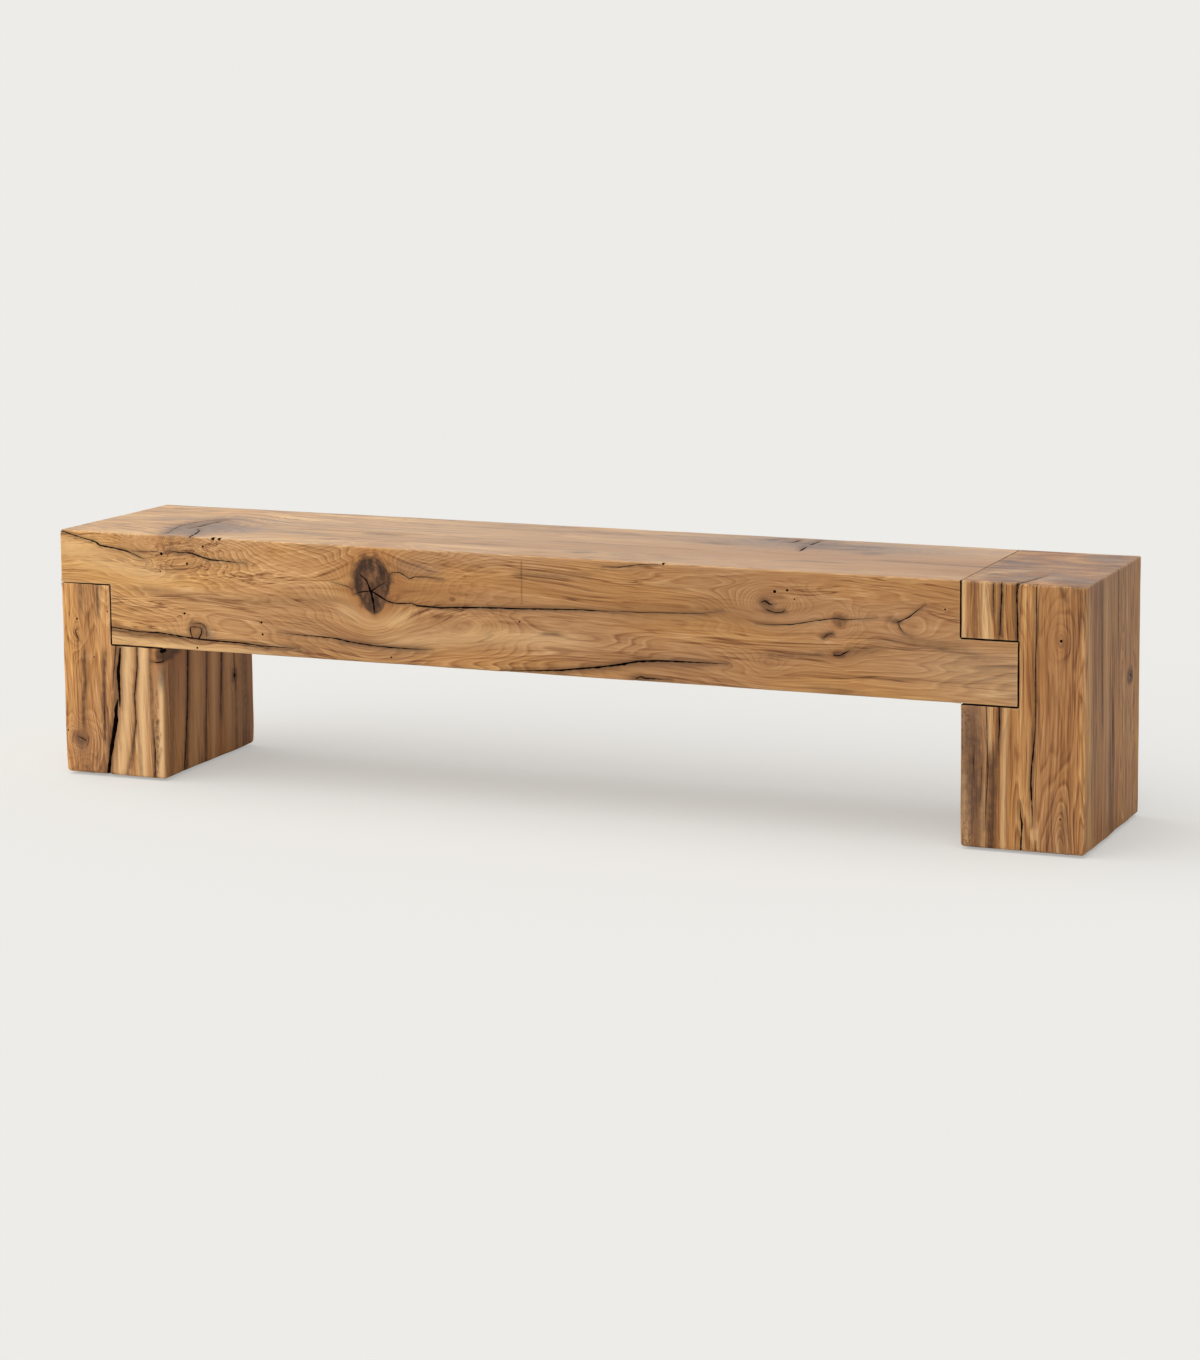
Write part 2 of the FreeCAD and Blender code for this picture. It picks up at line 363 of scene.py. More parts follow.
BEAM_CHECKS = on_faces(Check, [
    ("front", {
        "corner_check": (3.0, 16, [(59, 530), (78.7, 536.9), (95, 541.7), (99.7, 545.5), (113, 548),
            (126.5, 551.2), (135, 555), (146, 560.4)], (0.8, 0.1)),
        "corner_branch": (1.3, 6, [(124, 550.6), (141.8, 551.8), (157, 551.6), (162, 554)]),
        "upper_check": (2.8, 15, [(166.5, 550.6), (180, 552.8), (190.6, 553.1), (201, 557), (210, 559.8),
            (224, 561.2), (247, 563.7)]),
        "heart_check": (3.0, 18, [(111, 627.2), (126.5, 629.7), (140, 632), (157, 632.5), (172.4, 635),
            (187.7, 637.7), (203, 639.8), (222, 641.5), (241, 643), (260, 645.9), (279.6, 647.3),
            (299, 648.8)], (0.9, 0.1)),
        "heart_left": (3.6, 6, [(200.5, 628.4), (195, 627), (189.8, 627.3), (190.2, 632), (191.8, 637),
            (193.6, 639.4)], (0.5, 0.9)),
        "heart_right": (3.8, 6, [(199.6, 627.6), (201.6, 629.5), (201, 634), (198.6, 638.6)], (0.6, 0.9)),
        "heart_arc": (2.0, 5, [(190.6, 625.6), (193.4, 623.6), (197.4, 623), (202.6, 624.4), (205.6, 628.4),
            (206.8, 633), (206.2, 638)]),
        "heart_wing": (1.5, 4, [(193, 619.6), (190.6, 622.4), (189.6, 626.4)]),
        "low_left_check": (2.6, 14, [(277.7, 632.5), (304, 635.4), (321.7, 636.9), (337, 638.8),
            (350, 642.1), (374, 645.9), (393, 647.8), (412, 649.1), (432, 649.7)]),
        "star_upper_left": (4.2, 20, [(370.7, 592.5), (366.3, 580.8), (356.8, 571.7)], (1.0, 0.15)),
        "star_right": (2.6, 12, [(369.5, 592), (378.8, 586), (388, 581.2)], (0.9, 0.1)),
        "star_left": (2.6, 12, [(372, 591), (362.5, 591.7), (353, 594.2)], (0.9, 0.1)),
        "star_lower": (5.0, 22, [(370.3, 590), (372.5, 600.3), (374.6, 613.5)], (0.9, 0.2)),
        "star_lower_right": (3.2, 16, [(369.8, 590.4), (379.7, 596.5), (389, 602.6)], (0.9, 0.5)),
        "long_check": (3.0, 20, [(386, 601), (395, 603.6), (412, 603.6), (416, 605.7), (429.5, 607),
            (441, 608), (464, 607.6), (492.6, 608), (521, 609), (550, 609.3), (579, 609.9), (598, 610.9),
            (630, 612.4)], (0.8, 0.05)),
        "knot_lip_check": (2.0, 10, [(388.5, 576), (392.2, 572.6), (399, 572.6), (406.5, 577),
            (409.4, 578.9), (414.2, 577), (425.7, 577), (443, 579.3)]),
        "knot_left_check": (1.4, 6, [(330, 582), (341, 584.7), (349, 587), (354, 592)]),
        "low_check": (4.0, 24, [(505, 670.9), (536.6, 670.8), (559.6, 670.4), (580.6, 668.8), (598, 667.5),
            (619, 664.9), (638, 661.6), (657.4, 661), (676.5, 661.6), (695.7, 662.6), (728, 664)]),
        "under_arris_check": (1.6, 8, [(601, 567), (619, 567.3), (638, 564.8), (660, 564.3)]),
        "middle_check": (1.5, 8, [(611, 614.2), (623, 611.5), (636, 612.3), (653.6, 612.8), (676.5, 613.2),
            (699.5, 613.6), (724, 611.3)]),
        "twin_knot_check": (1.8, 10, [(755, 624), (773, 625), (791, 624.7), (816, 620.9), (834, 618.4),
            (846.8, 619.9), (877, 618)]),
        "fork_upper": (2.4, 12, [(897, 622.6), (903, 620), (908.6, 617.4), (915.5, 612), (926, 604)],
            (0.7, 0.1)),
        "fork_lower": (1.6, 10, [(897.4, 621.6), (899.5, 627), (903.5, 633.4)], (0.7, 0.1)),
        "twin_upper": (3.4, 8, [(761, 602.6), (765, 600.6), (769.4, 604.4), (772.6, 604.6)], (0.5, 0.4)),
        "twin_lower": (2.2, 7, [(762, 606), (767, 610), (775, 612.8), (782, 612.4), (784.6, 610)],
            (0.2, 0.5)),
        "ringed_break": (2.6, 7, [(823.4, 638), (827.6, 634.6), (832.6, 633.4)], (0.4, 0.3)),
        "low_knot_break": (3.2, 9, [(833, 655.4), (839.6, 656), (844, 653.4), (849, 651)], (0.6, 0.3)),
        "low_chip": (3.4, 6, [(635.6, 679), (640.4, 676.6), (645, 678.6), (656, 679.2), (671, 680.4)],
            (0.9, 0.1)),
        "cross_scratch": (0.4, 2, [(521.4, 562), (521.6, 585), (521.3, 611)], (0.6, 0.6)),
    }),
    ("top", {
        "top_grey_check": (5.0, 10, [(188, 528), (203, 525), (212, 522.5), (226, 519.8)]),
        "top_grey_branch": (4.0, 9, [(189.5, 536.4), (197, 532.2), (199.4, 529.6), (196.4, 528.4)],
            (0.9, 0.2)),
        "top_back_check": (6.0, 12, [(791, 542), (796, 540.9), (801, 539.6)], (0.4, 0.4)),
        "top_cross_check": (5.0, 12, [(799.8, 550.4), (803, 548.2), (806.6, 546)], (0.7, 0.3)),
        "top_cross_tip": (6.0, 12, [(811, 543.8), (814.6, 542.4), (820, 540.8)], (0.9, 0.3)),
        "top_arch": (2.4, 4, [(166.6, 533.4), (173, 528.8), (182, 524.8), (196, 521.8), (212, 519.8),
            (227, 519.2)], (0.3, 0.1)),
        "top_streak_check": (3.6, 6, [(366, 533.2), (383, 534), (402, 535.2)]),
    }),
    ("back", {
        "back_long_check": (3.2, 20, [(0.16, 0.72), (0.24, 0.735), (0.33, 0.71), (0.42, 0.72),
            (0.5, 0.70)]),
        "back_low_check": (2.6, 14, [(0.55, 0.66), (0.63, 0.65), (0.7, 0.665), (0.79, 0.655)]),
        "back_high_check": (2.0, 10, [(0.6, 0.9), (0.67, 0.905), (0.75, 0.89)]),
        "back_star_up": (3.0, 14, [(0.3, 0.79), (0.303, 0.83), (0.308, 0.855)], (0.9, 0.2)),
        "back_star_left": (2.4, 12, [(0.302, 0.79), (0.293, 0.8), (0.288, 0.83)], (0.9, 0.2)),
        "back_star_down": (3.2, 14, [(0.3, 0.795), (0.296, 0.765), (0.297, 0.735)], (0.9, 0.4)),
    }),
    ("under", {
        "under_check": (3.0, 16, [(0.22, 0.45), (0.32, 0.47), (0.45, 0.46), (0.56, 0.49)]),
        "under_side_check": (2.4, 12, [(0.5, 0.22), (0.6, 0.25), (0.7, 0.24)]),
    }),
])

LEFT_LEG_CHECKS = on_faces(Check, [
    ("front", {
        "big_split": (7.0, 45, [(119.5, 648), (118.9, 662), (117.8, 671), (118.3, 682), (119, 696),
            (119.2, 707)], (0.6, 0.2)),
        "big_split_foot": (8.0, 55, [(117.3, 699), (115.4, 710), (115.7, 719), (114, 731), (112, 742.5),
            (110, 757), (107.6, 779)], (0.2, 1.0)),
        "split_twin": (2.0, 10, [(115.5, 645), (115, 655), (113.8, 668.2), (112.6, 690)], (0.8, 0.1)),
        "pale_half_check": (2.2, 10, [(136.5, 645), (137, 666.8), (134.4, 696.2), (135.8, 721.5),
            (132.8, 749.5)], (0.9, 0.1)),
        "corner_check": (2.4, 10, [(153, 728), (155.2, 752.3), (154.5, 784)], (0.1, 0.9)),
        "corner_ring": (2.6, 8, [(166.2, 652), (166.8, 660), (165.6, 668), (163, 674)], (0.6, 0.2)),
        "knot_check": (2.6, 10, [(150.5, 661.6), (157, 662.6), (162.2, 661.9), (166.5, 658)], (0.2, 0.8)),
        "swirl_check": (2.2, 7, [(77.8, 628.2), (75.3, 630.6), (75.5, 632.8), (77.2, 636.5), (79.4, 641)]),
        "low_knot_check": (4.0, 9, [(76.6, 736.4), (81, 738), (86, 740.8)], (0.2, 0.8)),
        "low_knot_arc": (1.6, 4, [(87.2, 736.5), (88.6, 740), (87.6, 744), (85.4, 748)]),
        "corner_hatch": (1.6, 6, [(158.4, 720), (155.6, 733)]),
        "corner_hatch_mid": (1.6, 6, [(160.4, 734), (156.8, 748)]),
        "corner_hatch_low": (1.8, 6, [(161, 749), (157, 766)]),
        "outer_streak_check": (1.8, 8, [(104.2, 693), (104.6, 712), (104.7, 737)]),
    }),
    ("inner", {
        "inner_first": (4.0, 26, [(188.4, 646), (188.2, 680), (188, 710.3), (186.8, 740), (185, 772)],
            (0.9, 0.6)),
        "inner_second": (2.2, 12, [(207, 651), (207, 690), (206.6, 725), (206.2, 762)]),
        "inner_third": (3.4, 18, [(221.9, 646), (221.8, 680), (221.4, 709)], (0.9, 0.1)),
        "inner_fourth": (2.6, 12, [(234.3, 648), (235, 673.8), (236.6, 690)], (0.8, 0.1)),
    }),
    ("back", {
        "back_check": (3.0, 18, [(0.05, 0.1), (0.052, 0.25), (0.049, 0.45), (0.05, 0.6)]),
        "back_corner_check": (2.4, 14, [(0.09, 0.0), (0.089, 0.15), (0.091, 0.3)], (0.9, 0.1)),
    }),
    ("left", {
        "outer_check": (3.4, 20, [(0.6, 0.2), (0.605, 0.4), (0.6, 0.58)]),
        "outer_knot_check": (2.4, 9, [(0.52, 0.335), (0.55, 0.352), (0.575, 0.385)], (0.3, 0.3)),
        "outer_foot_check": (2.6, 16, [(0.3, -0.01), (0.297, 0.15), (0.302, 0.33)], (0.9, 0.1)),
    }),
])

RIGHT_LEG_CHECKS = on_faces(Check, [
    ("front", {
        "lap_check": (3.0, 22, [(1016.8, 580), (1016.8, 600), (1017.3, 620), (1017.6, 644)], (0.9, 0.9)),
    }),
    ("top", {
        "top_lap_check": (3.0, 12, [(1015, 584.3), (1026, 581.2), (1036, 578.5), (1046, 575.6)],
            (0.9, 0.1)),
    }),
    ("front", {
        "long_check": (1.5, 24, [(1036.8, 583), (1036.4, 600.3), (1036.6, 633.6), (1035.4, 663.2),
            (1035.7, 707), (1035, 738), (1033.4, 752)], (0.8, 0.3)),
        "long_check_foot": (3.0, 26, [(1034.6, 730), (1033, 752), (1031.2, 768), (1030.6, 786),
            (1031.7, 803), (1032.6, 828)], (0.2, 0.1)),
        "foot_check": (3.0, 18, [(1019.7, 803), (1020.3, 815.8), (1021.9, 824), (1021, 837), (1020.3, 856)],
            (0.1, 0.9)),
        "foot_short_check": (2.2, 10, [(1035.4, 842), (1035.4, 858)], (0.1, 0.9)),
        "patch_streak": (1.6, 4, [(974.6, 741), (973.4, 762), (974.4, 786)]),
        "patch_streak_second": (1.6, 4, [(980.6, 752), (981.4, 776), (980.2, 806)]),
        "dark_check": (1.8, 10, [(986.2, 706), (987, 743), (988, 770), (986, 800), (984.8, 830)],
            (0.8, 0.1)),
        "second_dark_check": (2.4, 11, [(999, 706), (999.5, 727), (997.6, 752)], (0.9, 0.1)),
        "block_check": (2.4, 12, [(1001.5, 581), (1001.6, 594), (1000.6, 612), (999.6, 636)], (0.8, 0.5)),
        "block_short_check": (1.6, 8, [(993.4, 583), (993, 596), (993.6, 612)], (0.8, 0.1)),
    }),
    ("right", {
        "side_check": (2.2, 14, [(1102.6, 590), (1102.4, 640), (1102.8, 690), (1103, 722)]),
        "side_second_check": (2.2, 14, [(1112.6, 690), (1113.2, 735), (1113.4, 768)]),
        "side_third_check": (1.6, 10, [(1118.9, 572), (1119, 620), (1119.4, 660)]),
    }),
    ("back", {
        "back_check": (3.4, 22, [(0.94, 0.25), (0.942, 0.45), (0.938, 0.7), (0.94, 0.93)]),
        "back_knot_check": (2.2, 9, [(0.9515, 0.53), (0.955, 0.55), (0.957, 0.58)], (0.3, 0.3)),
        "back_foot_check": (2.6, 16, [(0.915, 0.0), (0.917, 0.16), (0.914, 0.34)], (0.9, 0.1)),
    }),
])

BEAM_HOLES = on_faces(WormHole, [
    ("front", {
        "arris_hole": ((212.6, 538.6), 7.0, 9),
        "arris_hole_twin": ((218.9, 539.2), 6.0, 8),
        "upper_left": ((202.7, 546.6), 4.5, 9),
        "branch_hole": ((161, 553.8), 6.0, 9),
        "below_upper_check": ((186.8, 563.7), 4.6, 9),
        "left_small": ((160, 571.4), 3.0, 7),
        "mid_left": ((184.4, 613.4), 4.2, 9),
        "near_knot_high": ((261.4, 622.4), 4.2, 9),
        "near_knot_low": ((262.6, 634.4), 4.2, 9),
        "low_left": ((197.3, 647.8), 4.0, 8),
        "mid_brown": ((519.4, 621.8), 3.4, 8),
        "low_mid": ((391.2, 657.4), 3.4, 8),
        "under_arris": ((662.8, 563.9), 5.0, 9),
        "twin_big": ((774.5, 591.6), 6.0, 11),
        "twin_small": ((787.1, 590.3), 4.6, 10),
        "twin_pin": ((794.2, 599.3), 2.8, 6),
        "far_right": ((945, 609.5), 3.2, 7),
    }),
    ("back", {
        "back_first": ((0.3, 0.8), 4.2, 9),
        "back_second": ((0.31, 0.77), 3.2, 8),
        "back_third": ((0.72, 0.74), 5.0, 9),
    }),
])

LEFT_LEG_HOLES = on_faces(WormHole, [
    ("front", {
        "swirl_hole": ((76.9, 618.7), 4.2, 9),
        "outer_pin": ((107.2, 611.6), 3.0, 7),
        "outer_small": ((94, 657), 2.8, 6),
        "edge_small": ((68.4, 729.9), 3.0, 7),
        "knot_hole": ((161.4, 651.2), 8.0, 14),
    }),
    ("inner", {
        "inner_knot_hole": ((235, 675.4), 9.0, 14),
    }),
])

RIGHT_LEG_HOLES = on_faces(WormHole, [
    ("front", {
        "knot_eye": ((1061.2, 641.3), 5.0, 9),
        "low_pin": ((1060, 819.6), 3.0, 7),
    }),
    ("right", {
        "side_knot_eye": ((1130.9, 675.2), 5.0, 9),
    }),
])

BEAM_KNOTS = on_faces(Knot, [
    ("front", {
        "great_knot": ((371.5, 581), 35, 42, 30, 1.0, 0.6),
        "great_knot_foot": ((374, 600), 20, 24, 6, 0.9),
        "heart_knot": ((196.8, 631), 15, 16, 12, 0.32),
        "left_swirl": ((146, 536), 24, 26, 24, 0.0),
        "brown_spot": ((452.4, 599.4), 6, 4, 6, 0.5),
        "twin_knot": ((770, 602), 34, 24, 22, 0.1),
        "ringed_knot": ((839.5, 620.9), 13, 12, 18, 0.7, 0.4),
        "low_knot": ((838.5, 654.4), 12, 7, 10, 0.75),
        "fork_swirl": ((912, 622), 24, 18, 4, 0.0),
        "feather_swirl": ((470, 628), 46, 20, 14, 0.0),
        "low_swirl": ((768, 663), 18, 10, 7, 0.0),
    }),
    ("top", {
        "top_grey_knot": ((207, 526.5), 55, 105, 20, 0.4, 0.3),
        "top_back_knot": ((817, 544), 45, 60, 20, 0.45),
    }),
    ("back", {
        "back_knot": ((0.3, 0.79), 27, 30, 22, 0.9, 0.5),
        "back_small_knot": ((0.66, 0.7), 17, 13, 16, 0.6),
    }),
])

LEFT_LEG_KNOTS = on_faces(Knot, [
    ("front", {
        "swirl_knot": ((77, 629), 18, 8, 8, 0.1),
        "low_knot": ((80.6, 738.6), 14, 14, 16, 0.4, 0.5),
        "corner_knot": ((160.6, 655), 16, 12, 12, 0.75),
    }),
    ("inner", {
        "side_knot": ((235, 675.4), 16, 12, 12, 0.7),
    }),
    ("left", {
        "outer_knot": ((0.55, 0.35), 24, 19, 18, 0.6),
    }),
])

RIGHT_LEG_KNOTS = on_faces(Knot, [
    ("front", {
        "front_knot": ((1061.2, 641.3), 13, 7, 5, 0.4),
        "foot_flame": ((1060, 846), 60, 12, 12, 0.0),
    }),
    ("right", {
        "side_knot": ((1130.4, 675.2), 17, 21, 10, 0.84),
    }),
    ("back", {
        "back_knot": ((0.955, 0.55), 22, 17, 18, 0.6),
    }),
])

BEAM_STAINS = on_faces(Stain, [
    ("front", "dark", {
        "heart_check_shadow": (7, 0.55, [(114, 630), (140, 635), (172, 638.5), (196, 641)]),
        "low_left_shadow": (6, 0.4, [(250, 645), (275, 649), (310, 650)]),
        "knot_lower_shadow": (6, 0.45, [(345, 642), (385, 648), (418, 650)]),
        "mid_left_streak": (9, 0.3, [(148, 590), (190, 597), (240, 603), (330, 600)]),
        "long_check_shadow": (5, 0.35, [(440, 608), (520, 609.5), (590, 610.5)]),
        "low_check_shadow": (7, 0.4, [(560, 672), (640, 664), (700, 665)]),
        "low_mark": (6, 0.6, [(637, 678), (646, 678.4)]),
        "right_band": (14, 0.22, [(640, 615), (720, 612), (760, 622)]),
        "right_low_band": (7, 0.5, [(800, 655.5), (838, 655), (878, 648)]),
        "twin_break": (6, 0.7, [(763, 602), (770, 605)], 0.7),
        "twin_shade": (5, 0.45, [(766, 611), (784, 612)], 0.6),
        "ringed_break": (5, 0.7, [(823, 637), (831, 634)], 0.7),
        "heart_shade": (5, 0.5, [(203, 626), (206, 634)], 0.8),
        "low_knot_trail": (5, 0.55, [(772, 655.4), (834, 655.6), (858, 650)]),
        "fork_trail": (5, 0.4, [(904, 634), (916, 640), (936, 643.4), (958, 646)]),
        "fork_mark": (4, 0.8, [(892.5, 620), (895.5, 621.5)]),
        "tongue_streak": (6, 0.35, [(880, 640), (935, 645), (975, 657)]),
        "mid_dash": (4, 0.6, [(546, 634), (558, 634)]),
        "upper_dash": (4, 0.45, [(520, 575), (585, 576)]),
        "knot_halo": (15, 0.45, [(372, 566), (373, 606)]),
        "amber_foot": (8, 0.3, [(820, 689), (850, 692)]),
    }),
    ("front", "pale", {
        "knot_pale": (13, 0.45, [(348, 611), (374, 622), (402, 619)], 0.6),
        "tongue_pale": (40, 0.28, [(972, 672), (1012, 682)]),
        "pale_left_top": (16, 0.5, [(64, 545), (100, 560), (150, 575)]),
        "pale_low_left": (8, 0.6, [(116, 638), (180, 648), (260, 654)]),
        "pale_mid": (16, 0.35, [(400, 640), (480, 636), (560, 640)]),
    }),
    ("front", "brown", {
        "heart_fill": (8, 0.7, [(195, 630), (197, 636)], 0.8),
        "amber_patch": (20, 0.75, [(400, 590), (444, 595)], 0.6),
    }),
    ("front", "grey", {
        "heart_grey": (9, 0.6, [(206, 630), (209, 636)], 0.7),
        "smudge": (14, 0.4, [(402, 566), (432, 570)], 0.6),
        "tongue_grey": (34, 0.25, [(975, 665), (1012, 690)]),
    }),
    ("top", "brown", {
        # Painted shade: the seat's top is browner and darker towards its right end
        "top_right_brown": (150, 1.0, [(740, 551), (985, 566)]),
    }),
    ("top", "grey", {
        "top_grey": (40, 1.3, [(192, 531), (212, 527), (240, 529)], 0.8),
        "top_grey_tail": (18, 0.5, [(236, 526), (300, 532)]),
        "top_back_grey": (60, 1.0, [(800, 543.6), (822, 545), (858, 547)]),
    }),
    ("top", "dark", {
        "top_grey_edge": (8, 0.75, [(167, 533.2), (179, 527), (200, 522), (226, 518.6), (240, 519)], 0.8),
        "top_back_dark": (14, 0.9, [(796, 542.4), (824, 544.6), (864, 546.6)]),
        "top_back_streak": (9, 0.8, [(812, 547.4), (836, 549), (856, 549.4)]),
        "top_mid_dark": (7, 0.45, [(480, 527), (640, 535)]),
        "top_mid_line": (5, 0.45, [(560, 541), (690, 549)]),
        "top_dash": (6, 0.8, [(577, 552.4), (588, 552)]),
        "top_thin_streak": (5, 0.5, [(300, 529), (420, 534)]),
        "top_line": (4, 0.5, [(780, 560.2), (812, 561.4)]),
        "top_right_line": (6, 0.7, [(888, 560.6), (940, 564), (996, 567.6)]),
        "top_dash_back": (7, 0.8, [(714, 542.6), (722, 543.6)]),
        "top_dash_far": (7, 0.8, [(772, 540), (788, 538.6)]),
        "top_dash_right": (7, 0.7, [(866, 553.8), (876, 552.8)]),
        "top_dash_front": (6, 0.6, [(805, 560.6), (830, 562)]),
        "top_back_band": (14, 0.3, [(180, 505), (380, 516), (560, 527)]),
    }),
    ("top", "pale", {
        "top_mid_pale": (60, 0.16, [(470, 532), (660, 543)]),
        "top_mid_streak": (14, 0.3, [(440, 545), (600, 553)]),
    }),
])

LEFT_LEG_STAINS = on_faces(Stain, [
    ("front", "dark", {
        "outer_streak": (3.8, 0.85, [(84.4, 652), (83.8, 665), (85.6, 680), (83.2, 700), (83.7, 726)]),
        "outer_upper": (4, 0.8, [(79.5, 584), (80, 606)]),
        "outer_upper_right": (4, 0.75, [(97, 584), (98, 612)]),
        "outer_right": (4.5, 0.85, [(105, 655), (103, 700), (104.6, 738)]),
        "split_shadow": (7, 0.55, [(116, 655), (115, 710), (108, 775)]),
        "pale_half_streak": (3.5, 0.75, [(136.5, 647), (137, 667), (134.2, 696), (135.8, 721), (132.8, 750),
            (127, 777)]),
        "corner_streak": (4, 0.7, [(150, 648), (150.4, 677), (151.8, 705), (153.2, 733), (155, 778)]),
        "flow_streak": (3, 0.6, [(140.4, 750), (141.6, 776)]),
        "corner_break": (6, 0.9, [(160, 651), (163, 652)]),
    }),
    ("front", "brown", {
        "outer_brown": (26, 0.75, [(85, 600), (86, 690), (86, 770)]),
        "low_knot_ring": (12, 0.5, [(74, 752), (82, 758), (90, 750)], 0.8),
        "swirl_brown": (5, 0.7, [(86.4, 604), (88.4, 620), (88.6, 630)]),
    }),
    ("front", "pale", {
        "pale_first": (11, 0.75, [(126, 650), (126, 700), (122, 770)]),
        "pale_second": (9, 0.75, [(143, 650), (142, 700), (143, 774)]),
        "pale_edge": (6, 0.8, [(161, 690), (161.5, 778)]),
    }),
    ("front", "pitted", {
        "corner_pits": (5, 0.95, [(155.6, 698), (157, 735), (156, 776)]),
        "foot_pits": (8, 0.5, [(84, 772), (106, 776)]),
    }),
    ("front", "grey", {
        "corner_grey": (7, 0.9, [(160.6, 665), (161.4, 678)]),
        "low_knot_grey": (13, 0.4, [(79, 737), (81, 747)], 0.8),
    }),
    ("inner", "brown", {
        "inner_shadow": (90, 0.8, [(168, 700), (210, 700), (250, 700)]),
    }),
    ("inner", "dark", {
        "inner_arris": (16, 0.5, [(172, 660), (172, 775)]),
        "inner_first_edge": (8, 0.9, [(188, 650), (187, 772)]),
        "inner_second_edge": (6, 0.7, [(207, 652), (206.4, 760)]),
        "inner_third_edge": (7, 0.8, [(221.8, 650), (221.4, 712)]),
        "inner_fourth_edge": (7, 0.6, [(236, 690), (237, 745)]),
        "inner_back_streak": (18, 0.6, [(244, 652), (246, 700), (246, 738)]),
    }),
    ("inner", "pale", {
        "inner_second_pale": (14, 0.3, [(197, 654), (197, 762)]),
        "inner_third_pale": (11, 0.34, [(214, 654), (214, 756)]),
        "inner_fourth_pale": (10, 0.24, [(229, 654), (229, 748)]),
    }),
])

RIGHT_LEG_STAINS = on_faces(Stain, [
    ("front", "dark", {
        "block_dark": (7, 0.45, [(974, 586), (976, 610), (975, 634)]),
        "block_dark_second": (4, 0.6, [(993, 584), (993.6, 612)]),
        "block_dark_third": (5, 0.8, [(1001.4, 584), (1000.8, 610), (999.4, 640)]),
        "block_dark_fourth": (4, 0.6, [(1015.5, 584), (1016, 640)]),
        "dark_patch": (18, 0.7, [(972, 742), (972, 775), (974, 800)]),
        "dark_patch_foot": (15, 0.5, [(974, 800), (976, 850)]),
        "strip_top": (4.5, 0.8, [(999, 708), (998, 740), (996, 765)]),
        "strip_dark": (9, 0.95, [(993, 762), (992, 800), (990.6, 850)]),
        "check_side": (4, 0.5, [(1036, 600), (1035, 720), (1031, 790)]),
        "foot_flame_dark": (5, 0.45, [(1061, 834), (1062, 854)]),
        "corner_dash": (4, 0.6, [(1081, 596), (1080, 628)]),
        "top_vee": (4, 0.6, [(1060, 586), (1066, 600)], 0.6),
        "top_vee_right": (5, 0.5, [(1079, 585), (1074, 594)], 0.6),
        "flame_left": (4, 0.4, [(1052, 800), (1048, 846)]),
        "flame_right": (4, 0.45, [(1064, 812), (1070, 850)]),
    }),
    ("front", "pale", {
        "block_pale": (7, 0.6, [(985, 590), (986, 636)]),
        "block_edge_pale": (5, 0.5, [(964, 584), (964, 636)]),
        "patch_edge_pale": (4, 0.45, [(965, 780), (966.4, 850)]),
        "strip_pale": (4.5, 0.5, [(989, 712), (989.6, 745)]),
        "strip_pale_foot": (3, 0.5, [(983.6, 790), (982.6, 850)]),
        "pale_stripe": (4.5, 0.55, [(1006, 712), (1004, 770), (1003, 848)]),
    }),
    ("front", "grey", {
        "dark_patch_grey": (22, 0.45, [(970, 716), (972, 800)]),
    }),
    ("front", "pitted", {
        "patch_pits": (20, 0.8, [(967, 718), (969, 760), (971, 845)]),
    }),
    ("front", "brown", {
        "patch_top": (18, 0.7, [(972, 710), (973, 735)]),
        "brown_half": (22, 0.25, [(1056, 600), (1056, 700), (1056, 840)]),
    }),
    ("right", "dark", {
        "side_streak": (7, 0.6, [(1102.4, 588), (1102.6, 724)]),
        "side_streak_second": (6, 0.5, [(1113, 640), (1113.4, 800)]),
        "side_streak_third": (6, 0.45, [(1119, 572), (1119.2, 700)]),
        "side_streak_fourth": (6, 0.4, [(1095, 600), (1095.4, 830)]),
        "side_streak_fifth": (7, 0.4, [(1126, 570), (1126, 790)]),
        "side_low": (14, 0.5, [(1110, 770), (1112, 830)]),
    }),
    ("right", "pale", {
        "side_pale": (12, 0.3, [(1107.6, 600), (1107.6, 800)]),
        "side_pale_second": (10, 0.25, [(1090, 620), (1090.4, 840)]),
    }),
    ("right", "grey", {
        "side_grey": (14, 0.15, [(1094, 640), (1094, 800)]),
    }),
    ("top", "grey", {
        "top_haze": (130, 0.4, [(1000, 566), (1100, 572)], 1.0),
        "top_smudge": (26, 0.8, [(1005, 579), (1020, 577.6), (1050, 579)], 1.0),
        "top_smudge_right": (30, 0.8, [(1060, 575.6), (1084, 581)], 1.0),
        "top_smudge_back": (34, 0.8, [(1100, 557.6), (1116, 561)], 1.0),
        "top_smudge_left": (20, 0.7, [(1010, 564.6), (1024, 562)], 1.0),
    }),
    ("top", "pale", {
        "top_pale": (16, 0.35, [(976, 577), (996, 572), (1020, 571)], 1.0),
        "top_pale_right": (14, 0.4, [(1042, 579.4), (1052, 578)], 1.0),
    }),
    ("top", "dark", {
        "top_dark": (7, 0.7, [(990, 575), (995, 573.6)], 1.0),
    }),
])


class Timber(NamedTuple):
    """One timber: its node, boxes, grain axis, pith place, tints at both ends (painted shade towards the seat
    beam's right end), looks and marks.
    """

    node: str
    boxes: list
    grain: int
    pith: tuple
    tones_and_falloff: tuple
    contrast: float
    ring_weight: float
    checks: dict
    holes: dict
    knots: dict
    stains: dict

    def across(self):
        """Axis across the grain in the front face."""
        return X + Z - self.grain


def box(x_low, x_high, z_low, z_high):
    """Lower and upper corner of a box that runs through the whole depth of the bench."""
    return np.array([x_low, Y_FRONT, z_low]), np.array([x_high, Y_BACK, z_high])


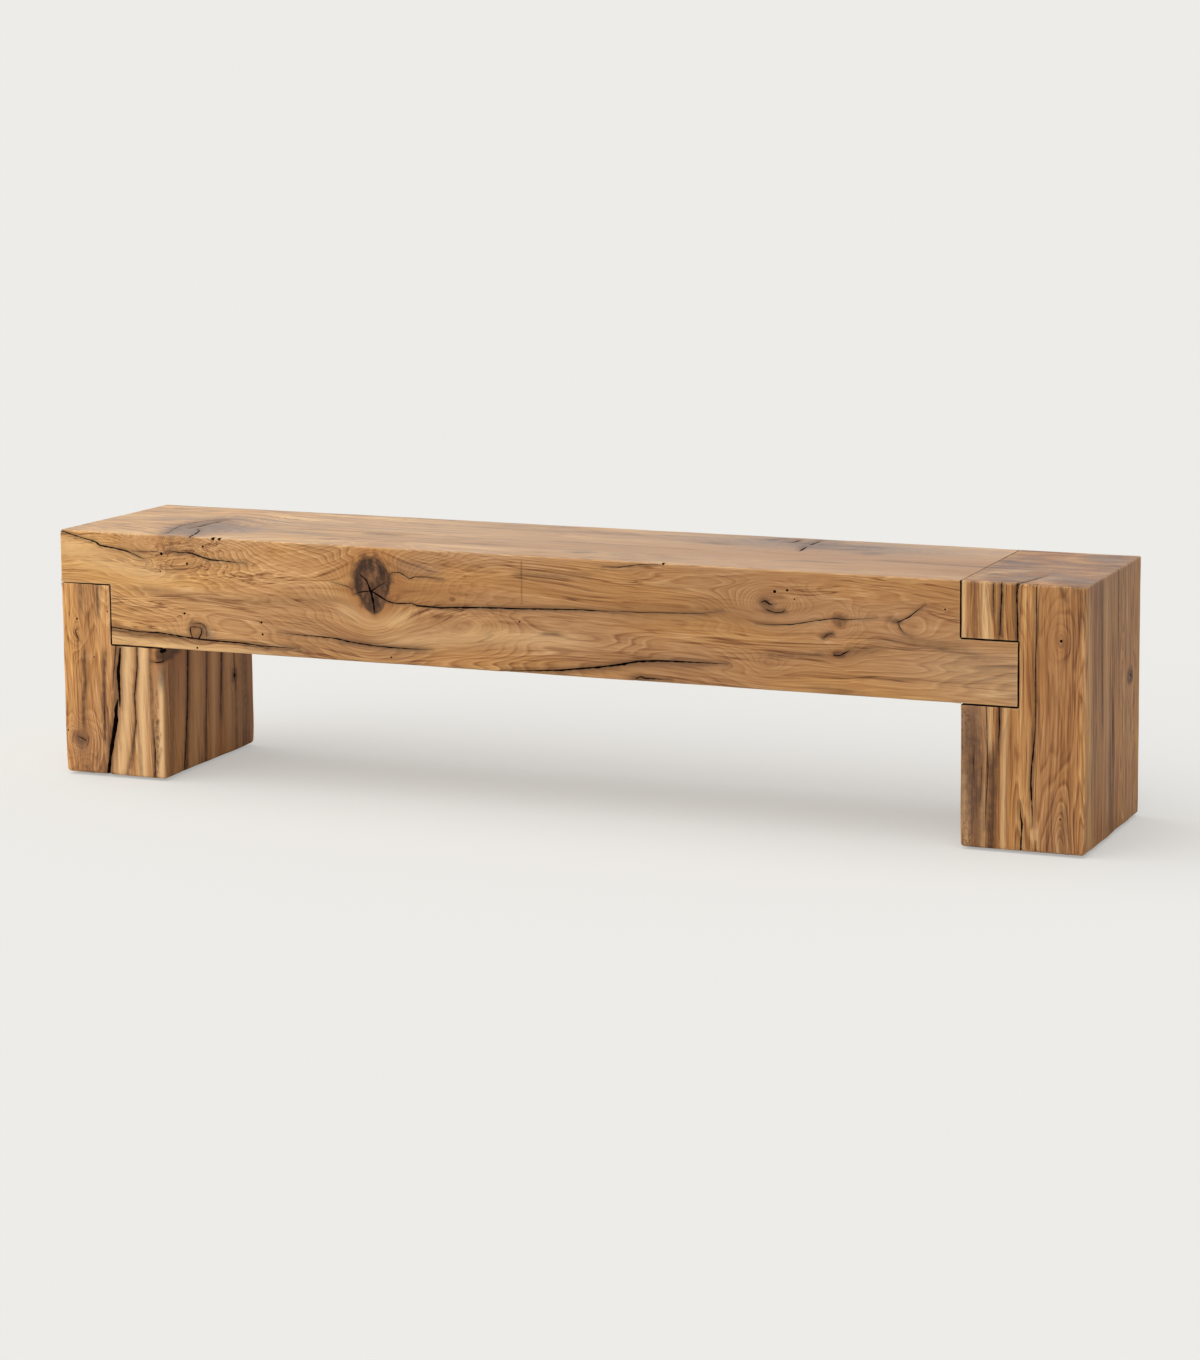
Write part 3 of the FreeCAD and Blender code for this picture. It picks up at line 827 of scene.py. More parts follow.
def timber_list(gap):
    """The timbers, each as the largest boxes that fit in its side profile, with half a gap off each joint."""
    ease = gap / 2
    seat_beam = Timber(
        node="seat_beam",
        boxes=[
            box(X_LEFT, X_RIGHT_INNER - ease, Z_LAP + ease, Z_TOP),
            box(X_LEFT_TONGUE + ease, X_RIGHT_INNER - ease, Z_SHOULDER, Z_TOP),
            box(X_LEFT_TONGUE + ease, X_RIGHT_TONGUE - ease, Z_SHOULDER, Z_LAP - ease),
        ],
        grain=X,
        pith=(0.27, 0.08),
        # Painted shade: the seat beam darkens from its left end towards its right, where the light falls off
        tones_and_falloff=((0.975, 0.98, 0.945), (0.757, 0.74, 0.765)),
        contrast=0.88,
        ring_weight=1.0,
        checks=BEAM_CHECKS,
        holes=BEAM_HOLES,
        knots=BEAM_KNOTS,
        stains=BEAM_STAINS,
    )
    left_leg = Timber(
        node="left_leg",
        boxes=[
            box(X_LEFT, X_LEFT_INNER, Z_FOOT, Z_SHOULDER - gap),
            box(X_LEFT, X_LEFT_TONGUE - ease, Z_FOOT, Z_LAP - ease),
        ],
        grain=Z,
        pith=(-0.93, 0.30),
        tones_and_falloff=((1.095, 1.07, 1.07), (1.095, 1.07, 1.07)),
        contrast=1.4,
        ring_weight=0.8,
        checks=LEFT_LEG_CHECKS,
        holes=LEFT_LEG_HOLES,
        knots=LEFT_LEG_KNOTS,
        stains=LEFT_LEG_STAINS,
    )
    right_leg = Timber(
        node="right_leg",
        boxes=[
            box(X_RIGHT_INNER + ease, X_RIGHT, Z_FOOT, Z_SHOULDER - gap),
            box(X_RIGHT_TONGUE + ease, X_RIGHT, Z_FOOT, Z_TOP),
            box(X_RIGHT_INNER + ease, X_RIGHT, Z_LAP + ease, Z_TOP),
        ],
        grain=Z,
        pith=(0.91, 0.06),
        tones_and_falloff=((0.702, 0.628, 0.56), (0.702, 0.628, 0.56)),
        contrast=1.6,
        ring_weight=1.2,
        checks=RIGHT_LEG_CHECKS,
        holes=RIGHT_LEG_HOLES,
        knots=RIGHT_LEG_KNOTS,
        stains=RIGHT_LEG_STAINS,
    )
    return {timber.node: timber for timber in (seat_beam, left_leg, right_leg)}


# Skin of a timber. Lengths beside an arris are in arris radii.
ARRIS_LINES = np.array([0, 0.35, 0.75, 1.25, 2.0])
NARROWEST_RUN = 5
FOOT_REACH = 5
SEAM_REACH = 2
HEW_SEED = 7
PLACE_DIGITS = 6


def lattice_lines(breaks, pitch, arris):
    """Lattice lines along one axis: every break, close lines beside it for the arris, even lines between."""
    close = arris * ARRIS_LINES
    lines = []
    for low, high in zip(breaks, breaks[1:]):
        if high - low < NARROWEST_RUN * arris:
            lines.extend(np.linspace(low, high, 3)[:-1])
            continue
        count = max(2, round((high - low - 2 * close[-1]) / pitch))
        lines.extend(low + close[:-1])
        lines.extend(np.linspace(low + close[-1], high - close[-1], count + 1))
        lines.extend((high - close[:0:-1])[1:])
    lines.append(breaks[-1])
    return np.array(lines)


def lattice_skin(lines, boxes):
    """Points and outward quads of the skin round all lattice cells that lie in one of the boxes."""
    middles = np.meshgrid(*[(line[1:] + line[:-1]) / 2 for line in lines], indexing="ij")
    filled = np.zeros(middles[0].shape, bool)
    for low, high in boxes:
        filled |= np.all([(m > a) & (m < b) for m, a, b in zip(middles, low, high)], axis=0)
    solid = np.pad(filled, 1).astype(int)
    sizes = [len(line) for line in lines]
    units = np.eye(3, dtype=int)
    quads = []
    for axis in (X, Y, Z):
        inside = [slice(1, -1)] * 3
        inside[axis] = slice(None)
        steps = np.diff(solid, axis=axis)[tuple(inside)]
        first, second = units[(axis + 1) % 3], units[(axis + 2) % 3]
        for way in (-1, 1):
            corner = np.argwhere(steps == way)
            ring = [corner, corner + first, corner + first + second, corner + second][::-way]
            quads.append(np.stack([np.ravel_multi_index(c.T, sizes) for c in ring], axis=1))
    used, quads = np.unique(np.concatenate(quads), return_inverse=True)
    index = np.unravel_index(used, sizes)
    points = np.stack([line[i] for line, i in zip(lines, index)], axis=1)
    return points, quads.reshape(-1, 4)


def ripple(points, length, seed):
    """Smooth noise from -1 to 1 at each point, with features of about the given length."""
    return np.array([noise.noise(Vector(p)) for p in points / length + seed])


def fade(distance, reach):
    """Bell curve: 1 at no distance, and nearly 0 at twice the reach."""
    return np.exp(-(distance / reach) ** 2)


def arris_core(points, boxes, radius):
    """Vector to each point from the nearest place that lies a radius deep in the timber."""
    radius = np.broadcast_to(radius, len(points))[:, None]
    nearest = np.full(len(points), np.inf)
    away = np.zeros_like(points)
    for low, high in boxes:
        reach = points - np.clip(points, low + radius, high - radius)
        distance = np.linalg.norm(reach, axis=1)
        nearer = distance < nearest
        nearest[nearer] = distance[nearer]
        away[nearer] = reach[nearer]
    return away


def skew_left_end(points):
    """Moves the left end in towards the back, as the saw cut runs there."""
    depth_share = (points[:, Y] - Y_FRONT) / (Y_BACK - Y_FRONT)
    end_share = np.clip((X_LEFT_TONGUE - points[:, X]) / (X_LEFT_TONGUE - X_LEFT), 0, 1)
    points[:, X] += (X_LEFT_BACK - X_LEFT) * depth_share * end_share


def course_distance(points, course, stretch=(1, 1, 1)):
    """Distance of each point from a course of straight runs, with each axis times its stretch."""
    course = [np.array(spot) * stretch for spot in course]
    points = points * stretch
    nearest = np.full(len(points), np.inf)
    for start, end in zip(course, course[1:]):
        run = end - start
        share = np.clip((points - start) @ run / (run @ run), 0, 1)
        nearest = np.minimum(nearest, np.linalg.norm(points - start - share[:, None] * run, axis=1))
    return nearest


def joint_distance(points):
    """Distance of each point from the nearest joint line, seen from the side."""
    courses = [[(x, 0, z) for x, z in line] for line in JOINT_LINES.values()]
    return np.min([course_distance(points, course, (1, 0, 1)) for course in courses], axis=0)


def lip_depth(points, timber, settings):
    """Depth of the rolled lips of checks."""
    depth = np.zeros(len(points))
    for check in timber.checks.values():
        near = fade(course_distance(points, mark_course(check)), settings.lip_reach)
        depth = np.maximum(depth, settings.lip_share * check.width * MM * near)
    return depth


def timber_mesh(timber, settings, pitch):
    """Mesh of a timber: lattice skin, uneven eased arrises, hewn hollows and the skewed left end."""
    corners = np.array(timber.boxes).reshape(-1, 3)
    breaks = [sorted({round(float(place), PLACE_DIGITS) for place in places}) for places in corners.T]
    lines = [lattice_lines(places, pitch, settings.arris) for places in breaks]
    points, quads = lattice_skin(lines, timber.boxes)
    seed = sum(timber.pith)
    foot = fade(points[:, Z] - Z_FOOT, FOOT_REACH * settings.arris)
    seam = fade(joint_distance(points), SEAM_REACH * settings.arris)
    radius = settings.arris * (1 + settings.wear * ripple(points, settings.wear_length, seed))
    radius *= (1 + settings.foot_wear * foot) * (1 - (1 - settings.seam_arris) * seam)
    away = arris_core(points, timber.boxes, radius)
    normal = away / np.linalg.norm(away, axis=1)[:, None]
    points += normal * radius[:, None] - away
    hollow = settings.hew * (1 + ripple(points, settings.hew_length, seed + HEW_SEED)) / 2
    points -= normal * np.clip(hollow + lip_depth(points, timber, settings), 0, None)[:, None]
    skew_left_end(points)
    mesh = bpy.data.meshes.new(timber.node)
    mesh.from_pydata(points, [], quads.tolist())
    return mesh


# Geometry node trees that make the cutters


def add(tree, kind, inputs=None, **settings):
    """New node with its settings, and each input set to a value or linked to a socket."""
    node = tree.nodes.new(kind)
    for name, value in settings.items():
        setattr(node, name, value)
    for key, value in (inputs or {}).items():
        feed(tree, node.inputs[key], value)
    return node


def feed(tree, socket, value):
    """Sets a socket to a value, or links it to another node's output."""
    if isinstance(value, Term):
        value = value.socket
    if isinstance(value, bpy.types.NodeSocket):
        tree.links.new(value, socket)
    else:
        socket.default_value = value


class Term:
    """A number in a node tree, which plain arithmetic turns into Math nodes."""

    def __init__(self, tree, socket):
        self.tree = tree
        self.socket = socket

    def math(self, operation, *others):
        """Result of a Math node."""
        node = self.tree.nodes.new("ShaderNodeMath")
        node.operation = operation
        for socket, value in zip(node.inputs, (self, *others)):
            feed(self.tree, socket, value)
        return Term(self.tree, node.outputs[0])

    def __add__(self, other):
        return self.math("ADD", other)

    def __sub__(self, other):
        return self.math("SUBTRACT", other)

    def __mul__(self, other):
        return self.math("MULTIPLY", other)

    def __truediv__(self, other):
        return self.math("DIVIDE", other)

    def capped(self):
        """The number, but at most 1."""
        return self.math("MINIMUM", 1.0)

    def scaled(self, gain, base):
        """The number times a gain, from a base."""
        return self * gain + base

    def ramp(self, low, high, start=0.0, end=1.0, smooth=True):
        """Number from start, where this one is low, to end, where it is high."""
        inputs = {"Value": self, "From Min": low, "From Max": high, "To Min": start, "To Max": end}
        shape = "SMOOTHSTEP" if smooth else "LINEAR"
        node = add(self.tree, "ShaderNodeMapRange", inputs, interpolation_type=shape)
        return Term(self.tree, node.outputs[0])

    def fall(self, low, high):
        """1 where the number is low, and 0 where it is high."""
        return self.ramp(low, high, 1.0, 0.0)

    def line(self, middle, width):
        """Thin line, 1 where the number is at the middle and 0 a width away."""
        return (self - middle).math("ABSOLUTE").fall(0.0, width)


def new_tree(name, inputs):
    """Geometry node tree with one geometry in and out, and the named inputs; returns its ends too."""
    tree = bpy.data.node_groups.new(name, "GeometryNodeTree")
    tree.interface.new_socket("Geometry", in_out="INPUT", socket_type="NodeSocketGeometry")
    for label, kind in inputs.items():
        tree.interface.new_socket(label, in_out="INPUT", socket_type="NodeSocket" + kind)
    tree.interface.new_socket("Geometry", in_out="OUTPUT", socket_type="NodeSocketGeometry")
    return tree, tree.nodes.new("NodeGroupInput").outputs, tree.nodes.new("NodeGroupOutput").inputs


def end_tree(tree, shape, wall, made):
    """Ends a tree with real geometry in the wall's material."""
    real = add(tree, "GeometryNodeRealizeInstances", {"Geometry": shape})
    finished = add(tree, "GeometryNodeSetMaterial", {"Geometry": real.outputs[0], "Material": wall})
    feed(tree, made[0], finished.outputs[0])


def vector_math(tree, operation, inputs):
    """Vector that a Vector Math node makes."""
    return add(tree, "ShaderNodeVectorMath", inputs, operation=operation).outputs[0]


# Wedge of a check: its toe and its widest place as shares of its width, and the noise that it opens by
TOE_SHARE = 0.06
WIDEST_SHARE = 1.2
GAPE_NOISE = (0.3, 0.7)
GAPE_DETAIL = 2.0


def check_tree():
    """Tree that turns a course into a ragged wedge, to cut a check with."""
    numbers = ("Width", "Depth", "Lip", "Wander", "Ripple", "Ragged", "Step", "Seed")
    inputs = {**dict.fromkeys(numbers, "Float"), "Out": "Vector", "Wall": "Material"}
    tree, given, made = new_tree("check_wedge", inputs)
    drawn = {"Curve": given["Geometry"], "Length": given["Step"]}
    course = add(tree, "GeometryNodeResampleCurve", drawn, mode="LENGTH")
    place = add(tree, "GeometryNodeInputPosition").outputs[0]
    rough = {"Vector": place, "W": given["Seed"], "Scale": given["Ripple"], "Detail": GAPE_DETAIL}
    jitter = add(tree, "ShaderNodeTexNoise", rough, noise_dimensions="4D")
    centred = vector_math(tree, "SUBTRACT", {0: jitter.outputs["Color"], 1: (0.5, 0.5, 0.5)})
    in_face = vector_math(tree, "CROSS_PRODUCT", {0: centred, 1: given["Out"]})
    offset = vector_math(tree, "SCALE", {0: in_face, "Scale": given["Wander"]})
    ragged = add(tree, "GeometryNodeSetPosition", {"Geometry": course.outputs[0], "Offset": offset})
    upright = {"Curve": ragged.outputs[0], "Normal": given["Out"]}
    turned = add(tree, "GeometryNodeSetCurveNormal", upright, mode="FREE")
    width = Term(tree, given["Width"])
    bottom = Term(tree, given["Depth"]) * -1.0
    mouth = [(given["Lip"], width * 0.5), (given["Lip"], width * -0.5)]
    toe = [(bottom, width * -TOE_SHARE), (bottom, width * TOE_SHARE)]
    wedge = add(tree, "GeometryNodeCurvePrimitiveQuadrilateral", mode="POINTS")
    for index, (up, side) in enumerate(mouth + toe):
        point = add(tree, "ShaderNodeCombineXYZ", {"X": up, "Y": side})
        feed(tree, wedge.inputs[f"Point {index + 1}"], point.outputs[0])
    narrowest = Term(tree, given["Ragged"]).scaled(-1.0, WIDEST_SHARE)
    gape = Term(tree, jitter.outputs["Fac"]).ramp(*GAPE_NOISE, narrowest, WIDEST_SHARE, smooth=False)
    swell = Term(tree, add(tree, "GeometryNodeInputRadius").outputs[0]) * gape
    swept = {"Curve": turned.outputs[0], "Profile Curve": wedge.outputs[0], "Scale": swell, "Fill Caps": True}
    end_tree(tree, add(tree, "GeometryNodeCurveToMesh", swept).outputs[0], given["Wall"], made)
    return tree


def point_value(tree, name, kind="FLOAT"):
    """Value that each point carries under a name."""
    return add(tree, "GeometryNodeInputNamedAttribute", {"Name": name}, data_type=kind).outputs[0]


def bore_tree():
    """Tree that puts a round bit of its own width and length on every point, along the point's axis."""
    tree, given, made = new_tree("bores", {"Sides": "Int", "Wall": "Material"})
    bit = add(tree, "GeometryNodeMeshCylinder", {"Vertices": given["Sides"], "Radius": 0.5, "Depth": 1.0})
    bore = point_value(tree, "bore")
    size = add(tree, "ShaderNodeCombineXYZ", {"X": bore, "Y": bore, "Z": point_value(tree, "depth")})
    axis = point_value(tree, "axis", "FLOAT_VECTOR")
    turn = add(tree, "FunctionNodeAlignRotationToVector", {"Vector": axis}, axis="Z")
    placed = {"Points": given["Geometry"], "Instance": bit.outputs["Mesh"]}
    turned = {"Rotation": turn.outputs[0], "Scale": size.outputs[0]}
    bits = add(tree, "GeometryNodeInstanceOnPoints", {**placed, **turned})
    end_tree(tree, bits.outputs[0], given["Wall"], made)
    return tree


def link(obj):
    """Puts a new object into the scene."""
    bpy.context.scene.collection.objects.link(obj)
    return obj


def settle(obj):
    """Turns an object and its modifiers into one plain mesh object of the same name."""
    graph = bpy.context.evaluated_depsgraph_get()
    solid = obj.evaluated_get(graph)
    mesh = bpy.data.meshes.new_from_object(solid, preserve_all_data_layers=True, depsgraph=graph)
    name = obj.name
    bpy.data.objects.remove(obj)
    return link(bpy.data.objects.new(name, mesh))


SAME_PLACE = 0.001 * MM


def run_tree(obj, tree, inputs):
    """Plain mesh that a geometry node tree makes from an object, with its faces outwards."""
    modifier = obj.modifiers.new(tree.name, "NODES")
    modifier.node_group = tree
    sockets = {s.name: s.identifier for s in tree.interface.items_tree if s.in_out == "INPUT"}
    for label, value in inputs.items():
        modifier[sockets[label]] = value
    made = settle(obj)
    shape = bmesh.new()
    shape.from_mesh(made.data)
    bmesh.ops.remove_doubles(shape, verts=shape.verts, dist=SAME_PLACE)
    bmesh.ops.recalc_face_normals(shape, faces=shape.faces)
    shape.to_mesh(made.data)
    shape.free()
    return made


class Edge(NamedTuple):
    """Edge of a check: wander aside as a share of the width, ripples per metre, and loss of width by them."""

    wander: float
    ripple: float
    ragged: float


SEAM_EDGE = Edge(0.25, 40.0, 0.25)
SPLIT_EDGE = Edge(0.25, 40.0, 0.7)
CHECK_EDGE = Edge(0.4, 110.0, 0.7)
SPLIT_WIDTH = 5


def check_cutter(name, check, wall, settings, seed):
    """Wedge along the course of one check or joint seam. A wide check is a split, with a calmer edge."""
    seam = len(check.course[0]) == 3
    edge = SEAM_EDGE if seam else SPLIT_EDGE if check.width > SPLIT_WIDTH else CHECK_EDGE
    width = check.width * MM * (1 if seam else settings.check_open)
    course = mark_course(check)
    curve = bpy.data.curves.new(name, "CURVE")
    curve.dimensions = "3D"
    spline = curve.splines.new("POLY")
    spline.points.add(len(course) - 1)
    for index, (point, place) in enumerate(zip(spline.points, course)):
        share = index / (len(course) - 1)
        swell = math.sqrt(max(0.0, math.sin(math.pi * share)))
        end_width = check.ends[0] * (1 - share) + check.ends[1] * share
        point.co = (*place, 1)
        point.radius = max(end_width, swell)
    inputs = {
        "Width": width,
        "Depth": check.depth * MM,
        "Lip": settings.overrun,
        "Wander": width * edge.wander,
        "Ripple": edge.ripple,
        "Ragged": edge.ragged,
        "Step": settings.check_step,
        "Seed": float(seed),
        "Out": tuple(FACES[check.face].outward()),
        "Wall": wall,
    }
    return run_tree(link(bpy.data.objects.new(name, curve)), TREES["check"], inputs)


class Bore(NamedTuple):
    """Round hole between two points."""

    start: Vector
    end: Vector
    bore: float


def bore_cutter(name, bores, wall, sides):
    """Bits that cut the given round holes, which stand clear of each other."""
    mesh = bpy.data.meshes.new(name)
    mesh.from_pydata([(b.start + b.end) / 2 for b in bores], [], [])
    for label, kind in (("bore", "FLOAT"), ("depth", "FLOAT"), ("axis", "FLOAT_VECTOR")):
        mesh.attributes.new(label, kind, "POINT")
    for index, b in enumerate(bores):
        mesh.attributes["bore"].data[index].value = b.bore
        mesh.attributes["depth"].data[index].value = (b.end - b.start).length
        mesh.attributes["axis"].data[index].vector = (b.end - b.start).normalized()
    return run_tree(link(bpy.data.objects.new(name, mesh)), TREES["bore"], {"Sides": sides, "Wall": wall})


JOINT_SIDES = {"seat_beam": ("left", "right"), "left_leg": ("left",), "right_leg": ("right",)}
SEAM_STARTS = {"left": 0.4, "right": 1}
END_SEAM_POINTS = 8


def seam_checks(timber, settings):
    """Open seams along the timber's joints, on the front, the back, the seat and the left end."""
    width = settings.seam_width / MM
    depth = settings.seam_depth / MM
    past = settings.overrun
    seams = {}
    for side in JOINT_SIDES[timber.node]:
        for face, y in (("front", Y_FRONT), ("back", Y_BACK)):
            line = [(x, y, z) for x, z in JOINT_LINES[side]]
            seams[f"{side}_{face}_seam"] = Check(face, width, depth, line, (SEAM_STARTS[side], 1))
    if "right" in JOINT_SIDES[timber.node]:
        line = [(X_RIGHT_INNER, Y_FRONT - past, Z_TOP), (X_RIGHT_INNER, Y_BACK + past, Z_TOP)]
        share = settings.seat_seam
        seams["seat_seam"] = Check("top", width * share, depth * share, line, (1, 1))
    if "left" in JOINT_SIDES[timber.node]:
        line = np.array([(X_LEFT, y, Z_LAP) for y in np.linspace(Y_FRONT, Y_BACK, END_SEAM_POINTS)])
        skew_left_end(line)
        seams["end_seam"] = Check("left", width, depth * settings.end_seam, line.tolist(), (1, 1))
    return seams


def worm_bores(holes, overrun):
    """Bores of the worm holes, each square to its face."""
    bores = []
    for hole in holes.values():
        face = FACES[hole.face]
        place = mark_point(face, hole.spot)
        out = face.outward()
        bores.append(Bore(place + out * overrun, place - out * hole.depth * MM, hole.bore * MM))
    return bores


def fastener_bores(timber, settings):
    """Wide and narrow bores for the bolts, washers, inserts, dowels and screws that enter a timber."""
    wide = []
    narrow = []
    past = Vector((0, 0, settings.overrun))
    in_beam = timber.node == "seat_beam"
    for node in sorted(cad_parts):
        low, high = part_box(node)
        middle = (low + high) / 2
        foot = Vector((middle.x, middle.y, Z_FOOT)) - past
        top = Vector((middle.x, middle.y, high.z))
        own_leg = not in_beam and timber.node.split("_")[0] == node.split("_")[0]
        if node.endswith("bolt_washer") and own_leg:
            wide.append(Bore(foot, top, settings.counterbore))
        if node.endswith("leg_bolt") and (own_leg or in_beam):
            narrow.append(Bore(foot, top + Vector((0, 0, settings.bolt_room)), settings.bolt_hole))
        if node.endswith("threaded_insert") and in_beam:
            mouth = Vector((middle.x, middle.y, low.z)) - past
            wide.append(Bore(mouth, top, high.x - low.x + 2 * settings.fit))
        if node.endswith("glide_screw") and own_leg:
            wide.append(Bore(foot, top + Vector((0, 0, settings.fit)), settings.screw_hole))
        if node.endswith("dowel") and (own_leg or in_beam):
            axis = max((X, Y, Z), key=lambda a: high[a] - low[a])
            reach = Vector()
            reach[axis] = (high[axis] - low[axis] + settings.overrun) / 2
            wide.append(Bore(middle - reach, middle + reach, high.y - low.y + 2 * settings.fit))
    return wide, narrow


def bundle(cutters, clear):
    """Joins the cutters into a few objects, each of one material and of cutters clear of one another."""
    bundles = []
    for cutter in cutters:
        points = np.array([vertex.co for vertex in cutter.data.vertices])
        low = points.min(axis=0) - clear
        high = points.max(axis=0) + clear
        wall = cutter.data.materials[0]
        for held, boxes, shape in bundles:
            if held == wall and all((high < a).any() or (low > b).any() for a, b in boxes):
                break
        else:
            boxes, shape = [], bmesh.new()
            bundles.append((wall, boxes, shape))
        boxes.append((low, high))
        shape.from_mesh(cutter.data)
        bpy.data.objects.remove(cutter)
    joined = []
    for wall, _, shape in bundles:
        mesh = bpy.data.meshes.new("cuts")
        shape.to_mesh(mesh)
        shape.free()
        mesh.materials.append(wall)
        joined.append(link(bpy.data.objects.new(mesh.name, mesh)))
    return joined


def cut(obj, cutters):
    """Cuts the cutters out of an object one by one; the cut walls keep the cutter's material."""
    for cutter in cutters:
        difference = obj.modifiers.new(cutter.name, "BOOLEAN")
        difference.operation = "DIFFERENCE"
        difference.solver = "MANIFOLD"
        difference.material_mode = "TRANSFER"
        difference.object = cutter
    made = settle(obj)
    for cutter in cutters:
        bpy.data.objects.remove(cutter)
    return made


def drop_chips(mesh):
    """Takes away the chips that the cuts have freed, so that only the largest connected body stays."""
    shape = bmesh.new()
    shape.from_mesh(mesh)
    waiting = set(shape.verts)
    bodies = []
    while waiting:
        body = [waiting.pop()]
        for vertex in body:
            beside = {edge.other_vert(vertex) for edge in vertex.link_edges} & waiting
            waiting -= beside
            body.extend(beside)
        bodies.append(body)
    bodies.sort(key=len)
    for chip in bodies[:-1]:
        bmesh.ops.delete(shape, geom=chip, context="VERTS")
    shape.to_mesh(mesh)
    shape.free()


# Marks painted on a timber's points
MARK_KINDS = ("dark", "pale", "grey", "brown", "pitted")
CHECK_EDGE_DARKENING_WIDTHS = 1.6
ARRIS_WEAR_AND_HIGHLIGHT_BAND = 7 * MM
SEAT_TURN = 0.3
END_TURN = 0.5
TURN_GAIN = 2
EVEN_CORNER = 1 - math.sqrt(0.5)
NO_LENGTH = 1e-9


def paint(mesh, name, values):
    """Stores one number for each point of a mesh."""
    mark = mesh.attributes.new(name, "FLOAT", "POINT")
    mark.data.foreach_set("value", np.clip(values, 0, 1).astype(np.float32))


def vertex_array(mesh, name):
    """One vector for each point of a mesh, such as its place."""
    values = np.empty(len(mesh.vertices) * 3)
    mesh.vertices.foreach_get(name, values)
    return values.reshape(-1, 3)


def stain_amount(points, stains, grain):
    """Strength of a set of stains at each point, drawn out along the grain."""
    amount = np.zeros(len(points))
    for stain in stains:
        stretch = np.ones(3)
        stretch[grain] = stain.squeeze
        near = fade(course_distance(points, mark_course(stain), stretch), stain.width * MM)
        amount = np.maximum(amount, stain.strength * near)
    return amount


def grime_amount(points, checks):
    """Strength of the darkening beside checks at each point."""
    amount = np.zeros(len(points))
    for check in checks:
        distance = course_distance(points, mark_course(check))
        amount = np.maximum(amount, fade(distance, check.width * MM * CHECK_EDGE_DARKENING_WIDTHS))
    return amount


def paint_marks(mesh, timber):
    """Paints the stains, the darkening beside checks, the seat's polish and painted sheen, the end grain and
    the worn arrises with their painted highlight.
    """
    points = vertex_array(mesh, "co")
    normals = vertex_array(mesh, "normal")
    for kind in MARK_KINDS:
        stains = [stain for stain in timber.stains.values() if stain.kind == kind]
        paint(mesh, kind, stain_amount(points, stains, timber.grain))
    paint(mesh, "grime", grime_amount(points, timber.checks.values()))
    # Mask of the seat's top: its polish for the gloss, and where its painted sheen lies
    paint(mesh, "polish_and_sheen", (normals[:, Z] - SEAT_TURN) * TURN_GAIN * (points[:, Z] > Z_LAP))
    paint(mesh, "end_grain", (np.abs(normals[:, timber.grain]) - END_TURN) * TURN_GAIN)
    # The arris mark: edges lightened by wear and by a painted highlight
    away = arris_core(points, timber.boxes, ARRIS_WEAR_AND_HIGHLIGHT_BAND)
    reach = np.maximum(np.linalg.norm(away, axis=1), NO_LENGTH)
    paint(mesh, "arris", (1 - np.max(np.abs(away), axis=1) / reach) / EVEN_CORNER)


# Shader helpers


def noise_value(tree, axes, scales, detail=2.0, roughness=0.5, offset=0.0):
    """Noise from 0 to 1, with its own scale along each axis."""
    vector = add(tree, "ShaderNodeCombineXYZ")
    for socket, axis, scale in zip(vector.inputs, axes, scales):
        feed(tree, socket, axis.scaled(scale, offset))
    inputs = {"Vector": vector.outputs[0], "Scale": 1.0, "Detail": detail, "Roughness": roughness}
    return Term(tree, add(tree, "ShaderNodeTexNoise", inputs).outputs["Fac"])


def blend(tree, share, under, over, mode="MIX"):
    """Colour socket of one colour laid over another by a share."""
    node = add(tree, "ShaderNodeMix", data_type="RGBA", blend_type=mode)
    feed(tree, node.inputs[0], share)
    for socket, tone in ((node.inputs[6], under), (node.inputs[7], over)):
        feed(tree, socket, tone if isinstance(tone, bpy.types.NodeSocket) else (*tone, 1))
    return node.outputs[2]


def times(tone, share):
    """A colour times a share, up to white."""
    return tuple(min(1.0, share * part) for part in tone)


def tone_ramp(tree, value, tones):
    """Colour of a value from 0 to 1 on a ramp with the given stops."""
    ramp = add(tree, "ShaderNodeValToRGB", {0: value})
    stops = ramp.color_ramp.elements
    while len(stops) < len(tones):
        stops.new(0.5)
    for stop, (place, tone) in zip(stops, tones.items()):
        stop.position = place
        stop.color = (*tone, 1)
    return ramp.outputs[0]


def new_material(name):
    """Empty node material, with its tree and shader."""
    material = bpy.data.materials.new(name)
    material.use_nodes = True
    return material, material.node_tree, material.node_tree.nodes["Principled BSDF"]


def object_axes(tree):
    """The object's coordinates as three numbers."""
    place = add(tree, "ShaderNodeTexCoord")
    split = add(tree, "ShaderNodeSeparateXYZ", {0: place.outputs["Object"]})
    return [Term(tree, socket) for socket in split.outputs]


def bump(tree, shader, height, distance):
    """Feeds a height to the shader's normal."""
    node = add(tree, "ShaderNodeBump", {"Height": height, "Distance": distance, "Strength": 1.0})
    feed(tree, shader.inputs["Normal"], node.outputs[0])


# Knots. Nearness is the inverse of the squared distance from a knot, plus a core.
KNOT_DEPTH = 130 * MM
KNOT_SIZES = 1.3
KNOT_CORE = 0.35
WIDE_SPREAD = 0.25
LIFT_SHARE = 0.65
DRIFT_SHARE = 0.3
HALO_EDGE = (0.22, 0.9)
RIM_RISE = (0.7, 0.88)
RIM_FALL = (0.95, 1.2)
RIM_BREAKS = (-0.14, 0.12, 0.15, 1.0)
FIRM_DARK = 0.85


class HeartEdge(NamedTuple):
    """Edge of a knot's dark heart: how ragged it is, and the nearness at which it starts and is full."""

    ragged: float
    start: float
    full: float


FIRM_EDGE = HeartEdge(0.4, 0.85, 1.12)
SOFT_EDGE = HeartEdge(1.1, 0.7, 1.5)


def gather(totals, name, term):
    """Adds a term to one of several running sums."""
    totals[name] = totals[name] + term if name in totals else term


